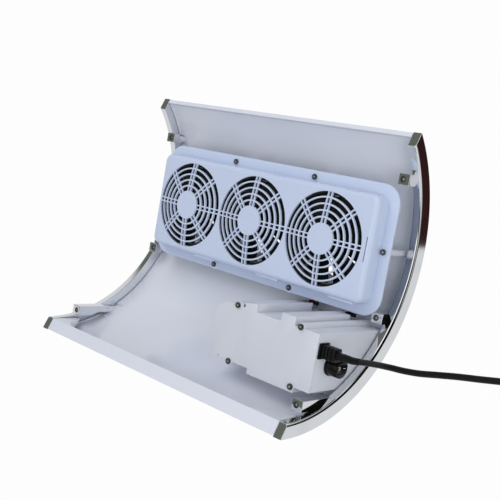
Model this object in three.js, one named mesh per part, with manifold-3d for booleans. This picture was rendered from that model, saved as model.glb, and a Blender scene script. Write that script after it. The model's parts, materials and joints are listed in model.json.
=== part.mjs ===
// Arched table-top dust collector with three exhaust fans, in millimetres, +Z up.
// The origin is the middle of the footprint. +X runs along the arch, +Y is the rear edge beside the power box.
// Everything under the arch is moulded and screwed square to one tilted direction, so most pieces are
// placed in a frame whose origin is the arch's centre line: x along the arch, v across it, w outwards.

import * as THREE from 'three';
import { mergeVertices } from 'three/addons/utils/BufferGeometryUtils.js';
import Module from 'manifold-3d';

const wasm = await Module();
wasm.setup();

// Arch
const archLength = 360;
const archDepth = 305;
const archHeight = 103;
const tilt = THREE.MathUtils.degToRad(24);
const archRadius = (archHeight ** 2 + (archDepth / 2) ** 2) / (2 * archHeight);
const floorLevel = archRadius - archHeight;
const archSteps = 24;

// Clearances
const gap = 0.3;
const slip = 0.3;
const overrun = 2;
const bite = 0.5;

// Chrome trims at the two ends
const trimWidth = 9.3;
const trimFoot = 14.4;
const trimThickness = 15.7;
const trimInnerRise = archHeight - trimThickness;
const trimInnerHalf = archDepth / 2 - trimFoot;
const trimInnerRadius = (trimInnerRise ** 2 + trimInnerHalf ** 2) / (2 * trimInnerRise);
const trimInnerCentre = floorLevel + trimInnerRise - trimInnerRadius;
const trimInnerX = archLength / 2 - trimWidth;

// Square screw posts of the trims
const postWidth = 10.7;
const postInset = 10.7;
const postReach = 1.8;
const postRootRise = 2;
const postWall = 3;
const postBore = 7.6;
const frontPostInset = 6.8;
const midPostInset = 1.3;
const rearPostInset = 10.13;
const shortPostDrop = 36.4;
const rearPostRise = 25.68;

// Shell
const shellStep = 0.6;
const shellWall = 2.6;
const shellOuterRadius = archRadius - shellStep;
const shellInnerRadius = shellOuterRadius - shellWall;
const shellEndX = trimInnerX - gap;
const flangeThickness = 2;
const flangeInnerX = shellEndX - flangeThickness;
const rearLipThickness = 3;
const frontLipWidth = 3.4;
const frontLipThickness = 4;
const webLeg = 36;
const webThickness = 2.2;

// Screws
const screwHead = 5.6;
const screwHeadHeight = 1.6;
const screwShank = 3;
const screwHole = 3.6;
const screwLength = 11;
const headHole = 6.2;
const headSink = 1.9;
const bossDiameter = 7;
const bossHoleDepth = 10;
const slotWidth = 1;
const slotDepth = 0.8;
const roundSides = 8;

// Fans
const fanPitch = 97.25;
const fanRowX = 2;
const fanRowV = 1.4;
const fanSize = 92;
const fanDepth = 25;
const fanBore = 89;
const fanHolePitch = 82.5;
const fanHole = 4.3;
const fanCorner = 4;
const strutWidth = 3.4;
const motorBaseHeight = 3;
const motorBaseDiameter = 37;
const bearingOuter = 8;
const bearingBore = 4.4;
const bearingHeight = 13;
const rotorShaft = 3.4;
const hubDiameter = 38;
const hubWall = 1.7;
const hubClearance = 0.7;
const hubTopInset = 2.6;
const bladeTip = 86.4;
const bladeRootChord = 16;
const bladeTipChord = 24;
const bladeRootPitch = THREE.MathUtils.degToRad(50);
const bladeTipPitch = THREE.MathUtils.degToRad(28);
const bladeThickness = 1.6;
const bladeCount = 7;
const statorOuter = 30;
const statorBore = 8.8;
const statorHeight = 10;
const boreSides = 22;

// Fan tray
const trayFaceDrop = 56.1;
const trayFaceThickness = 2.2;
const trayWall = 2.2;
const trayDepth = 17;
const rimThickness = 2.5;
const plateauLeftMargin = 5.45;
const plateauRightMargin = 10.75;
const plateauSideMargin = 5.8;
const plateauCorner = 7;
const rimLeftReach = 9.4;
const rimRightReach = 11.5;
const rimSideReach = 11.4;
const rimCorner = 20;
const pegDiameter = 3.7;
const pegHeight = 4;
const rimBulge = 11;
const trayLeftScrewInset = 4.7;
const trayRightScrewInset = 7.5;
const trayTopScrewInset = 6.6;
const trayBottomScrewInset = 4.6;
const trayScrewPitch = 112.5;
const trayTopScrewX = 7;
const latchWidth = 30;
const latchReach = 3.6;
const latchHeight = 5;
const latchShiftX = 32;
const hookSlotWidth = 18;
const hookSlotHeight = 1.6;
const hookSlotInset = 3;
const sideSlotLength = 24.4;
const sideSlotWidth = 1.2;
const sideSlotInset = 5;

// Exhaust grille of each fan
const grilleOuterRadius = 47.2;
const grilleDiscRadius = 15.8;
const grilleRings = 5;
const grilleBar = 1.6;
const spokeCount = 8;
const spokeBar = 1.3;
const spokeGap = 3;

// Intake side
const ductWall = 2.7;
const ductBore = 89.6;
const ductLedge = 2;
const ductLedgeHeight = 2;
const guardThickness = 2;
const guardTopDrop = 9;
const guardRim = 3;
const guardRingBar = 2;
const guardRings = 2;
const guardSpokes = 4;
const guardSpokeBar = 2.4;
const guardDiscRadius = 9;

// Power box, measured from the shell's right end flange and across the arch
const boxWall = 2;
const boxTableGap = 0.44;
const coverThickness = 2;
const boxRimGap = 10.7;
const boxWidth = 54.5;
const boxFootReach = 5.4;
const boxLength = 128;
const boxFootStart = 76.2;
const boxFootEnd = 18.4;
const boxShoulder = 10.8;
const boxShoulderDrop = 6.5;
const ductReach = 7.9;
const ductEndRise = 7;
const firstDuctEnd = 76.6;
const secondDuctEnd = 29.2;
const secondDuctLength = 16.8;
const ductMouthWidth = 11;
const ductMouthHeight = 11.2;
const ductSideMouth = 19;
const coverEar = 8;
const coverScrewRise = 0.8;
const coverScrewLeft = 100.8;
const coverScrewRight = 21.6;
const markHole = 3;
const markShift = 7.6;
const markRise = 1.5;
const pinHole = 1.6;
const pinHoleShift = 14.8;
const pinHoleRise = 1.6;

// Power supply inside the box
const boardThickness = 1.6;
const boardRise = 42.9;
const boardWidth = 32;
const boardInset = 9.5;
const railReach = 2.2;
const railHeight = 1.8;
const transformerLength = 34;
const transformerWidth = 24;
const transformerHeight = 20;
const transformerX = 96;
const capacitorDiameter = 14;
const capacitorHeight = 22;
const capacitorX = 62;

// Mains inlet and appliance connector in the box's end wall
const inletInset = 15.3;
const inletRise = 8.6;
const inletWidth = 14.5;
const inletHeight = 13;
const inletFlange = 1.7;
const inletBodyWidth = 12.4;
const inletBodyHeight = 10.8;
const inletDepth = 20;
const socketWidth = 9.4;
const socketHeight = 7.8;
const socketDepth = 12;
const contactPitch = 4.7;
const contactDiameter = 2.2;
const contactLength = 8;
const connectorWidth = 12.2;
const connectorHeight = 10.6;
const connectorGrip = 15;
const connectorBoot = 7.5;
const bootWidth = 8.4;
const noseLength = 10;
const connectorCorner = 2;
const gripGroove = 1;
const grooveCount = 3;

// Round rocker switch in the same wall
const switchInset = 29.8;
const switchRise = 24;
const bezelDiameter = 19.2;
const bezelThickness = 1.6;
const barrelDiameter = 17.6;
const barrelHeight = 13.6;
const switchBody = 14.6;
const switchBodyDepth = 16;
const rockerLength = 11.8;
const rockerWidth = 8;
const rockerTipHeight = 3.2;
const rockerDip = 1.2;
const rockerBase = 2.6;
const rockerTaper = 0.7;
const rockerPivotDepth = 2.7;
const rockerPin = 2.2;
const rockerPinReach = 1.2;
const rockerTilt = THREE.MathUtils.degToRad(8);
const pocketSlip = 0.9;
const pocketDepth = 7;

// Fan wires
const wireDiameter = 2.4;

// Mains cord. Its route on the table is chosen by hand from the photograph.
const cordDiameter = 5.4;
const cordSides = 10;
const cordStep = 12;
const cordRoute = [
  [193.5, 64.9, 17.6], [200, 64.8, 17.6], [209, 63.8, 16.6], [218, 62.9, 13.6], [228, 62.4, 9.4],
  [238, 62, 5.6], [248, 61.4, 3.3], [258, 60.6, 2.8], [272, 58.4, 2.8], [288, 54.5, 2.8],
  [304, 50.6, 2.8], [322, 46.8, 2.8], [340, 42.8, 2.8], [356, 39.3, 3.3], [370, 36.1, 3.9], [382, 33.4, 3.9],
];

// Coil of the stored length, its tie and its mains plug
const coilInnerRadius = 23;
const coilPitch = 6;
const coilLoopsPerLayer = 2.5;
const coilExitTurn = 0.25;
const coilSteps = 24;
const coilSides = 6;
const coilLift = 1.2;
const tieThickness = 0.8;
const tieWidth = 6;
const tieSlack = 0.4;
const tailFloor = 3.4;
const tailShares = [[0.12, 1], [0.3, 0.55], [0.48, 0.08], [0.62, 0.04], [0.76, 0.3], [0.88, 1]];
const tailLength = 92;
const plugLength = 34;
const plugWidth = 26;
const plugNeck = 11;
const plugHeight = 13;
const plugPin = 4;
const plugPinLength = 19;
const plugPinPitch = 19;
const plugPinSeat = 6;

const black = { color: 0x111214, roughness: 0.45, metalness: 0 };
const white = { color: 0xe6e8ee, roughness: 0.25, metalness: 0 };
const pale = { color: 0xccd6ee, roughness: 0.4, metalness: 0 };
const chrome = { color: 0xd9dcd8, roughness: 0.12, metalness: 1 };
const steel = { color: 0x6d6e6a, roughness: 0.35, metalness: 0.9 };
const copper = { color: 0xb06a3a, roughness: 0.4, metalness: 0.8 };
const brass = { color: 0xc8b070, roughness: 0.3, metalness: 1 };

const part = new THREE.Group();
const arch = new THREE.Group();
arch.position.z = -floorLevel;
part.add(arch);
const tilted = new THREE.Group();
tilted.rotation.x = tilt;
arch.add(tilted);
const tiltTurn = new THREE.Matrix4().makeRotationX(tilt);

// A closed geometry as a solid that can be cut and joined.
function solid(geometry, place) {
  const bare = geometry.clone();
  bare.deleteAttribute('normal');
  bare.deleteAttribute('uv');
  if (place) bare.applyMatrix4(place);
  const merged = mergeVertices(bare);
  return new wasm.Manifold(new wasm.Mesh({
    numProp: 3,
    vertProperties: new Float32Array(merged.attributes.position.array),
    triVerts: new Uint32Array(merged.index.array),
  }));
}

function geometryOf(manifold) {
  const mesh = manifold.getMesh();
  const geometry = new THREE.BufferGeometry();
  geometry.setAttribute('position', new THREE.BufferAttribute(new Float32Array(mesh.vertProperties), 3));
  geometry.setIndex(new THREE.BufferAttribute(new Uint32Array(mesh.triVerts), 1));
  geometry.computeVertexNormals();
  return geometry;
}

function addMesh(parent, name, shape, look) {
  const geometry = shape instanceof THREE.BufferGeometry ? shape : geometryOf(shape);
  const mesh = new THREE.Mesh(geometry, new THREE.MeshStandardMaterial(look));
  mesh.name = name;
  parent.add(mesh);
  return mesh;
}

function join(solids) {
  return solids.reduce((whole, piece) => whole.add(piece));
}

function cut(whole, tools) {
  return tools.reduce((left, tool) => left.subtract(tool), whole);
}

function at(x, y, z) {
  return new THREE.Matrix4().makeTranslation(x, y, z);
}

// A box between two corners.
function block(x0, x1, y0, y1, z0, z1) {
  const geometry = new THREE.BoxGeometry(x1 - x0, y1 - y0, z1 - z0);
  return solid(geometry, at((x0 + x1) / 2, (y0 + y1) / 2, (z0 + z1) / 2));
}

// A round bar along w, from w0 to w1.
function rod(diameter, x, v, w0, w1, sides = roundSides) {
  const geometry = new THREE.CylinderGeometry(diameter / 2, diameter / 2, w1 - w0, sides);
  geometry.rotateX(Math.PI / 2);
  return solid(geometry, at(x, v, (w0 + w1) / 2));
}

// A round bar along X, from x0 to x1.
function rodX(diameter, x0, x1, v, w, sides = roundSides) {
  const geometry = new THREE.CylinderGeometry(diameter / 2, diameter / 2, x1 - x0, sides);
  geometry.rotateZ(Math.PI / 2);
  return solid(geometry, at((x0 + x1) / 2, v, w));
}

function extruded(points, low, high) {
  const geometry = new THREE.ExtrudeGeometry(new THREE.Shape(points), { depth: high - low, bevelEnabled: false });
  return geometry.translate(0, 0, low);
}

// A plate whose outline lies in x and v, from w0 to w1, cut by holes right through.
function plate(points, holes, w0, w1) {
  const tools = holes.map((hole) => solid(extruded(hole, w0 - overrun, w1 + overrun)));
  return cut(solid(extruded(points, w0, w1)), tools);
}

// A bar whose outline lies in v and w (or y and z), from x0 to x1.
function barX(points, x0, x1) {
  const turn = new THREE.Matrix4().makeBasis(
    new THREE.Vector3(0, 1, 0),
    new THREE.Vector3(0, 0, 1),
    new THREE.Vector3(1, 0, 0),
  );
  return solid(extruded(points, x0, x1), turn);
}

function circle(x, y, radius, sides = roundSides) {
  const points = [];
  for (let i = 0; i < sides; i += 1) {
    const angle = (2 * Math.PI * i) / sides;
    points.push(new THREE.Vector2(x + radius * Math.cos(angle), y + radius * Math.sin(angle)));
  }
  return points;
}

function arcPoints(x, y, radius, start, end, steps) {
  const points = [];
  for (let i = 0; i <= steps; i += 1) {
    const angle = start + ((end - start) * i) / steps;
    points.push(new THREE.Vector2(x + radius * Math.cos(angle), y + radius * Math.sin(angle)));
  }
  return points;
}

function rectangle(x0, x1, y0, y1) {
  return [[x0, y0], [x1, y0], [x1, y1], [x0, y1]].map(([x, y]) => new THREE.Vector2(x, y));
}

function roundedRectangle(x0, x1, y0, y1, radius, steps = 3) {
  const turns = [[x1, y0, -1, 1, -0.5], [x1, y1, -1, -1, 0], [x0, y1, 1, -1, 0.5], [x0, y0, 1, 1, 1]];
  return turns.flatMap(([x, y, sideX, sideY, start]) => arcPoints(
    x + sideX * radius,
    y + sideY * radius,
    radius,
    start * Math.PI,
    (start + 0.5) * Math.PI,
    steps,
  ));
}

// Points of an arc over the table, from the rear edge to the front edge, round a centre at the given height.
function arcOver(radius, centre, floor = floorLevel, steps = archSteps) {
  const reach = Math.acos((floor - centre) / radius);
  const points = [];
  for (let i = 0; i <= steps; i += 1) {
    const angle = reach - (2 * reach * i) / steps;
    points.push(new THREE.Vector2(radius * Math.sin(angle), centre + radius * Math.cos(angle)));
  }
  return points;
}

function bandOver(outer, inner, x0, x1) {
  return barX([...outer, ...inner.reverse()], x0, x1);
}

// The whole space under an arc over the table, for trimming pieces against the arch.
function underArc(radius, centre, x0, x1) {
  const outline = arcOver(radius, centre);
  const reach = outline[0].x;
  return barX([...outline, new THREE.Vector2(-reach, 0), new THREE.Vector2(reach, 0)], x0, x1);
}

// The same space, turned back into the tilted frame.
const tiltBack = new THREE.Matrix4().makeRotationX(-tilt);

function underShell(step, x0, x1) {
  return solid(geometryOf(underArc(shellInnerRadius - step, 0, x0, x1)), tiltBack);
}

const mirrorX = new THREE.Matrix4().makeScale(-1, 1, 1);

function mirrored(manifold) {
  const geometry = geometryOf(manifold);
  geometry.applyMatrix4(mirrorX);
  const index = geometry.index.array;
  for (let i = 0; i < index.length; i += 3) [index[i], index[i + 1]] = [index[i + 1], index[i]];
  return solid(geometry);
}

function tiltedSolid(manifold) {
  return solid(geometryOf(manifold), tiltTurn);
}

// The foot of the rear lip's inner edge, in the tilted frame
const lipV = trimInnerHalf * Math.cos(tilt) + floorLevel * Math.sin(tilt);
const lipW = floorLevel * Math.cos(tilt) - trimInnerHalf * Math.sin(tilt);

// Plateau and rim of the fan tray
const plateau = {
  x0: fanRowX - fanPitch - grilleOuterRadius - plateauLeftMargin,
  x1: fanRowX + fanPitch + grilleOuterRadius + plateauRightMargin,
  v0: fanRowV - grilleOuterRadius - plateauSideMargin,
  v1: fanRowV + grilleOuterRadius + plateauSideMargin,
};
const rim = {
  x0: plateau.x0 - rimLeftReach,
  x1: plateau.x1 + rimRightReach,
  v0: plateau.v0 - rimSideReach,
  v1: plateau.v1 + rimSideReach,
};

const shortPostW = shellInnerRadius - shortPostDrop;
const posts = [
  { name: 'front', v: rim.v0 - frontPostInset, w: shortPostW },
  { name: 'middle', v: rim.v1 - midPostInset, w: shortPostW },
  { name: 'rear', v: lipV - rearPostInset, w: lipW + rearPostRise },
];
const postInnerX = trimInnerX - postInset;
const postOuterX = trimInnerX + postReach;
const postAxisX = (postInnerX + trimInnerX) / 2;
const postFar = shellInnerRadius;
const ends = [{ side: 'left', sign: -1 }, { side: 'right', sign: 1 }];

function postBlock(post, clearance) {
  return tiltedSolid(block(
    postInnerX - clearance,
    postOuterX + clearance,
    post.v - postWidth / 2 - clearance,
    post.v + postWidth / 2 + clearance,
    post.w - clearance,
    postFar,
  ));
}

// The space up to the posts' roots, whose arc is a little outside the trim's inner face.
function underRoots(rise, x0, x1) {
  return underArc(trimInnerRadius + rise, trimInnerCentre, x0, x1);
}

function trim() {
  const band = bandOver(
    arcOver(archRadius, 0),
    arcOver(trimInnerRadius, trimInnerCentre),
    trimInnerX,
    archLength / 2,
  );
  const room = underRoots(postRootRise, postInnerX - overrun, postOuterX + overrun);
  const sleeves = posts.map((post) => postBlock(post, 0).intersect(room));
  const bores = posts.flatMap((post) => [
    rod(postBore, postAxisX, post.v, post.w + postWall, postFar),
    rod(screwHole, postAxisX, post.v, post.w - overrun, post.w + postWall + overrun),
    rod(headHole, postAxisX, post.v, post.w - overrun, post.w + headSink),
  ]).map(tiltedSolid);
  const trimSide = block(trimInnerX + gap, archLength, -archDepth, archDepth, -archRadius, archRadius);
  const bored = cut(join(sleeves), bores);
  return cut(join([band, bored]), [bores[0].intersect(trimSide)]);
}

const rightTrim = trim();
addMesh(arch, 'trim_right', rightTrim, chrome);
addMesh(arch, 'trim_left', mirrored(rightTrim), chrome);

// A pan-head screw whose head's face lies at w0 and whose shank points outwards.
function screw(parent, name, x, v, w0, length) {
  const head = rod(screwHead, x, v, w0, w0 + screwHeadHeight);
  const shank = rod(screwShank, x, v, w0 + screwHeadHeight - bite, w0 + screwHeadHeight + length, 6);
  const slot = block(
    x - slotWidth / 2,
    x + slotWidth / 2,
    v - screwHead,
    v + screwHead,
    w0 - overrun,
    w0 + slotDepth,
  );
  addMesh(parent, name, cut(join([head, shank]), [slot]), steel);
}

for (const { side, sign } of ends) {
  for (const post of posts) {
    screw(
      tilted,
      `trim_screw_${side}_${post.name}`,
      sign * postAxisX,
      post.v,
      post.w + headSink - screwHeadHeight,
      screwLength,
    );
  }
}

// Places of the fan tray, which the shell's bosses share
const trayFaceW = shellInnerRadius - trayFaceDrop;
const rimFaceW = trayFaceW + trayDepth;
const rimTopW = rimFaceW + rimThickness;
const trayScrews = [
  { name: 'front_left', x: trayTopScrewX - trayScrewPitch / 2, v: rim.v0 + trayTopScrewInset },
  { name: 'front_right', x: trayTopScrewX + trayScrewPitch / 2, v: rim.v0 + trayTopScrewInset },
  { name: 'rear_left', x: -trayScrewPitch / 2, v: rim.v1 - trayBottomScrewInset },
  { name: 'rear_right', x: trayScrewPitch / 2, v: rim.v1 - trayBottomScrewInset },
  { name: 'left', x: rim.x0 + trayLeftScrewInset, v: fanRowV },
  { name: 'right', x: rim.x1 - trayRightScrewInset, v: fanRowV },
];
const fans = [
  { name: 'left', x: fanRowX - fanPitch },
  { name: 'middle', x: fanRowX },
  { name: 'right', x: fanRowX + fanPitch },
];
const ductOuter = ductBore + 2 * ductWall;

// Boss from a given height out to the middle of the shell's wall, with a blind hole for a screw.
function shellBoss(x, v, w0) {
  const inWall = underShell(-shellWall / 2, -archLength, archLength);
  return rod(bossDiameter, x, v, w0, postFar + overrun, 8).intersect(inWall);
}

function bossHole(x, v, w0) {
  return rod(screwHole, x, v, w0 - overrun, w0 + bossHoleDepth, 6);
}

function shell() {
  const wall = bandOver(arcOver(shellOuterRadius, 0), arcOver(shellInnerRadius, 0), -shellEndX, shellEndX);
  const flange = bandOver(
    arcOver(shellInnerRadius + bite, 0),
    arcOver(trimInnerRadius, trimInnerCentre),
    flangeInnerX,
    shellEndX,
  );
  const wallFootY = Math.sqrt((shellInnerRadius + shellWall / 2) ** 2 - floorLevel ** 2);
  const rearLip = block(
    -shellEndX,
    shellEndX,
    trimInnerHalf,
    wallFootY,
    floorLevel,
    floorLevel + rearLipThickness,
  );
  const frontLip = block(
    -shellEndX,
    shellEndX,
    -wallFootY,
    -wallFootY + frontLipWidth,
    floorLevel,
    floorLevel + frontLipThickness,
  );
  // Corner web: a right triangle in x and w that closes the end of the rear lip.
  const webOutline = [
    new THREE.Vector2(flangeInnerX + bite, lipW + bite),
    new THREE.Vector2(flangeInnerX + bite, lipW + webLeg),
    new THREE.Vector2(flangeInnerX - webLeg, lipW + bite),
  ];
  const webGeometry = extruded(webOutline, -lipV - webThickness, -lipV).rotateX(Math.PI / 2);
  const web = tiltedSolid(solid(webGeometry));
  const rootBand = bandOver(
    arcOver(shellInnerRadius + bite, 0),
    arcOver(trimInnerRadius + postRootRise + gap, trimInnerCentre),
    postInnerX,
    flangeInnerX + bite,
  );
  const roots = posts.map((post) => tiltedSolid(block(
    postInnerX - overrun,
    shellEndX,
    post.v - postWidth / 2 - overrun,
    post.v + postWidth / 2 + overrun,
    post.w,
    shellOuterRadius,
  )).intersect(rootBand));
  const sleeveRoom = underRoots(postRootRise + gap, postInnerX - overrun, archLength);
  const sleeves = posts.map((post) => postBlock(post, gap).intersect(sleeveRoom));
  const endPieces = cut(join([flange, web, ...roots]), sleeves);
  const bosses = [
    ...posts.flatMap((post) => ends.map(({ sign }) => ({
      x: sign * postAxisX,
      v: post.v,
      w: post.w + postWall + gap,
    }))),
    ...trayScrews.map((place) => ({ x: place.x, v: place.v, w: rimTopW + gap })),
  ];
  const intakes = fans.map((fan) => rod(ductBore, fan.x, fanRowV, trayFaceW, archRadius + overrun, boreSides));
  const body = join([
    wall,
    rearLip,
    frontLip,
    endPieces,
    mirrored(endPieces),
    ...bosses.map((boss) => tiltedSolid(shellBoss(boss.x, boss.v, boss.w))),
  ]);
  return cut(body, [
    ...bosses.map((boss) => tiltedSolid(bossHole(boss.x, boss.v, boss.w))),
    ...intakes.map(tiltedSolid),
  ]);
}

addMesh(arch, 'arch_shell', shell(), white);

// Slots of one exhaust grille: rings of sector slots, and small gaps between the two bars of each spoke.
function grilleSlots(x, v) {
  const holes = [];
  const ringPitch = (grilleOuterRadius - grilleDiscRadius + grilleBar) / grilleRings;
  const pairHalf = spokeGap / 2 + spokeBar;
  for (let ring = 0; ring < grilleRings; ring += 1) {
    const inner = grilleDiscRadius + ring * ringPitch;
    const outer = inner + ringPitch - grilleBar;
    for (let spoke = 0; spoke < spokeCount; spoke += 1) {
      const start = (2 * Math.PI * spoke) / spokeCount;
      const end = start + (2 * Math.PI) / spokeCount;
      const innerTurn = Math.asin(pairHalf / inner);
      const outerTurn = Math.asin(pairHalf / outer);
      holes.push([
        ...arcPoints(x, v, outer, start + outerTurn, end - outerTurn, 2),
        ...arcPoints(x, v, inner, end - innerTurn, start + innerTurn, 2),
      ]);
    }
  }
  for (let spoke = 0; spoke < spokeCount; spoke += 1) {
    const angle = (2 * Math.PI * spoke) / spokeCount;
    const across = new THREE.Vector2(-Math.sin(angle), Math.cos(angle)).multiplyScalar(spokeGap / 2);
    const along = new THREE.Vector2(Math.cos(angle), Math.sin(angle));
    const corner = (radius, side) => new THREE.Vector2(x, v).addScaledVector(along, radius).addScaledVector(across, side);
    holes.push([
      corner(grilleDiscRadius, -1),
      corner(grilleOuterRadius, -1),
      corner(grilleOuterRadius, 1),
      corner(grilleDiscRadius, 1),
    ]);
  }
  return holes;
}

function inset(box, amount) {
  return [box.x0 + amount, box.x1 - amount, box.v0 + amount, box.v1 - amount];
}

function fanTray() {
  const slotX = plateau.x1 - sideSlotInset;
  const sideSlot = rectangle(
    slotX - sideSlotWidth,
    slotX,
    fanRowV - sideSlotLength / 2,
    fanRowV + sideSlotLength / 2,
  );
  const hookV = plateau.v0 + hookSlotInset;
  const hookSlots = fans.map((fan) => rectangle(
    fan.x + latchShiftX - hookSlotWidth / 2,
    fan.x + latchShiftX + hookSlotWidth / 2,
    hookV,
    hookV + hookSlotHeight,
  ));
  const grilles = fans.flatMap((fan) => grilleSlots(fan.x, fanRowV));
  const faceOutline = roundedRectangle(plateau.x0, plateau.x1, plateau.v0, plateau.v1, plateauCorner);
  const innerOutline = roundedRectangle(...inset(plateau, trayWall), plateauCorner - trayWall);
  const face = plate(
    faceOutline,
    [sideSlot, ...hookSlots, ...grilles],
    trayFaceW,
    trayFaceW + trayFaceThickness,
  );
  const walls = plate(faceOutline, [innerOutline], trayFaceW + trayFaceThickness - bite, rimTopW - bite);
  const rimOutline = roundedRectangle(rim.x0, rim.x1, rim.v0, rim.v1, rimCorner, 5);
  const rimPlate = plate(rimOutline, [innerOutline], rimFaceW, rimTopW);
  const bulges = trayScrews.slice(2, 4).map(({ x, v }) => rod(rimBulge, x, v, rimFaceW - gap, rimTopW));
  const latches = fans.map((fan) => block(
    fan.x + latchShiftX - latchWidth / 2,
    fan.x + latchShiftX + latchWidth / 2,
    plateau.v1 - bite,
    plateau.v1 + latchReach,
    trayFaceW + trayFaceThickness,
    trayFaceW + trayFaceThickness + latchHeight,
  ));
  const pegs = fans.flatMap((fan) => [-1, 1].map((side) => rod(
    pegDiameter,
    fan.x + (side * fanHolePitch) / 2,
    fanRowV + (side * fanHolePitch) / 2,
    trayFaceW + bite,
    trayFaceW + trayFaceThickness + pegHeight,
    6,
  )));
  const whole = join([face, walls, rimPlate, ...bulges, ...latches, ...pegs]);
  return cut(whole, trayScrews.map(({ x, v }) => rod(screwHole, x, v, trayFaceW, rimTopW + overrun)));
}

addMesh(tilted, 'fan_tray', fanTray(), pale);
for (const place of trayScrews) {
  screw(
    tilted,
    `tray_screw_${place.name}`,
    place.x,
    place.v,
    rimFaceW - gap - screwHeadHeight - gap,
    rimThickness + 2 * gap + bossHoleDepth - bite,
  );
}

// One fan, standing at the origin with its exhaust face at w = 0
function fanFrame() {
  const half = fanSize / 2;
  const corners = [-1, 1].flatMap((sideX) => [-1, 1].map((sideV) => circle(
    (sideX * fanHolePitch) / 2,
    (sideV * fanHolePitch) / 2,
    fanHole / 2,
    6,
  )));
  const body = plate(
    roundedRectangle(-half, half, -half, half, fanCorner, 2),
    [circle(0, 0, fanBore / 2, boreSides), ...corners],
    0,
    fanDepth,
  );
  const base = rod(motorBaseDiameter, 0, 0, 0, motorBaseHeight, 16);
  const tube = rod(bearingOuter, 0, 0, motorBaseHeight - bite, motorBaseHeight + bearingHeight);
  const struts = [block(
    -fanBore / 2 - bite,
    fanBore / 2 + bite,
    -strutWidth / 2,
    strutWidth / 2,
    0,
    motorBaseHeight,
  ), block(
    -strutWidth / 2,
    strutWidth / 2,
    -fanBore / 2 - bite,
    fanBore / 2 + bite,
    0,
    motorBaseHeight,
  )];
  const bore = rod(bearingBore, 0, 0, hubClearance, fanDepth);
  return cut(join([body, base, tube, ...struts]), [bore]);
}

// A twisted blade: three stations along the radius, each a thin strip laid round the axis.
function blade(turn) {
  const rootRadius = hubDiameter / 2 - bite;
  const middleW = (motorBaseHeight + fanDepth) / 2;
  const shares = [0, 1];
  const corners = [];
  for (const share of shares) {
    const radius = rootRadius + (bladeTip / 2 - rootRadius) * share;
    const chord = bladeRootChord + (bladeTipChord - bladeRootChord) * share;
    const pitch = bladeRootPitch + (bladeTipPitch - bladeRootPitch) * share;
    for (const [alongSign, acrossSign] of [[-1, -1], [1, -1], [1, 1], [-1, 1]]) {
      const along = (alongSign * chord) / 2;
      const across = (acrossSign * bladeThickness) / 2;
      const round = along * Math.cos(pitch) - across * Math.sin(pitch);
      const rise = along * Math.sin(pitch) + across * Math.cos(pitch);
      const angle = turn + round / radius;
      corners.push(radius * Math.cos(angle), radius * Math.sin(angle), middleW + rise);
    }
  }
  const faces = [0, 2, 1, 0, 3, 2];
  for (let station = 0; station < shares.length - 1; station += 1) {
    for (let i = 0; i < 4; i += 1) {
      const a = station * 4 + i;
      const b = station * 4 + ((i + 1) % 4);
      faces.push(a, b, b + 4, a, b + 4, a + 4);
    }
  }
  const last = (shares.length - 1) * 4;
  faces.push(last, last + 1, last + 2, last, last + 2, last + 3);
  const geometry = new THREE.BufferGeometry();
  geometry.setAttribute('position', new THREE.Float32BufferAttribute(corners, 3));
  geometry.setIndex(faces);
  return solid(geometry);
}

function impeller() {
  const top = fanDepth - hubTopInset;
  const low = motorBaseHeight + hubClearance;
  const profile = [
    [0, 2 * hubClearance],
    [rotorShaft / 2, 2 * hubClearance],
    [rotorShaft / 2, top - hubWall],
    [hubDiameter / 2 - hubWall, top - hubWall],
    [hubDiameter / 2 - hubWall, low],
    [hubDiameter / 2, low],
    [hubDiameter / 2, top],
    [0, top],
  ].map(([radius, w]) => new THREE.Vector2(radius, w));
  const hubGeometry = new THREE.LatheGeometry(profile, 16);
  hubGeometry.rotateX(Math.PI / 2);
  const blades = [];
  for (let i = 0; i < bladeCount; i += 1) blades.push(blade((2 * Math.PI * i) / bladeCount));
  return join([solid(hubGeometry), ...blades]);
}

function stator() {
  const low = motorBaseHeight + gap;
  return plate(
    circle(0, 0, statorOuter / 2, 16),
    [circle(0, 0, statorBore / 2, 10)],
    low,
    low + statorHeight,
  );
}

// Round duct between a fan and the shell, with the ledge that carries the guard.
const guardTopW = shellInnerRadius - guardTopDrop;
const fanFaceW = trayFaceW + trayFaceThickness + gap;

function intakeDuct(x) {
  const low = fanFaceW + fanDepth + gap;
  const ledgeTop = guardTopW - guardThickness - gap;
  const tube = plate(
    circle(x, fanRowV, ductOuter / 2, boreSides),
    [circle(x, fanRowV, ductBore / 2, boreSides)],
    low,
    shellInnerRadius,
  );
  const ledge = plate(
    circle(x, fanRowV, ductBore / 2 + bite, boreSides),
    [circle(x, fanRowV, ductBore / 2 - ductLedge, boreSides)],
    ledgeTop - ductLedgeHeight,
    ledgeTop,
  );
  return join([tube, ledge]).intersect(underShell(gap, x - ductOuter, x + ductOuter));
}

function intakeGuard(x) {
  const outerRadius = ductBore / 2 - slip;
  const holes = [];
  const ringPitch = (outerRadius - guardRim - guardDiscRadius + guardRingBar) / guardRings;
  for (let ring = 0; ring < guardRings; ring += 1) {
    const inner = guardDiscRadius + ring * ringPitch;
    const outer = inner + ringPitch - guardRingBar;
    for (let spoke = 0; spoke < guardSpokes; spoke += 1) {
      const start = (2 * Math.PI * spoke) / guardSpokes;
      const end = start + (2 * Math.PI) / guardSpokes;
      const innerTurn = Math.asin(guardSpokeBar / 2 / inner);
      const outerTurn = Math.asin(guardSpokeBar / 2 / outer);
      holes.push([
        ...arcPoints(x, fanRowV, outer, start + outerTurn, end - outerTurn, 4),
        ...arcPoints(x, fanRowV, inner, end - innerTurn, start + innerTurn, 3),
      ]);
    }
  }
  return plate(circle(x, fanRowV, outerRadius, boreSides), holes, guardTopW - guardThickness, guardTopW);
}

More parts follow.
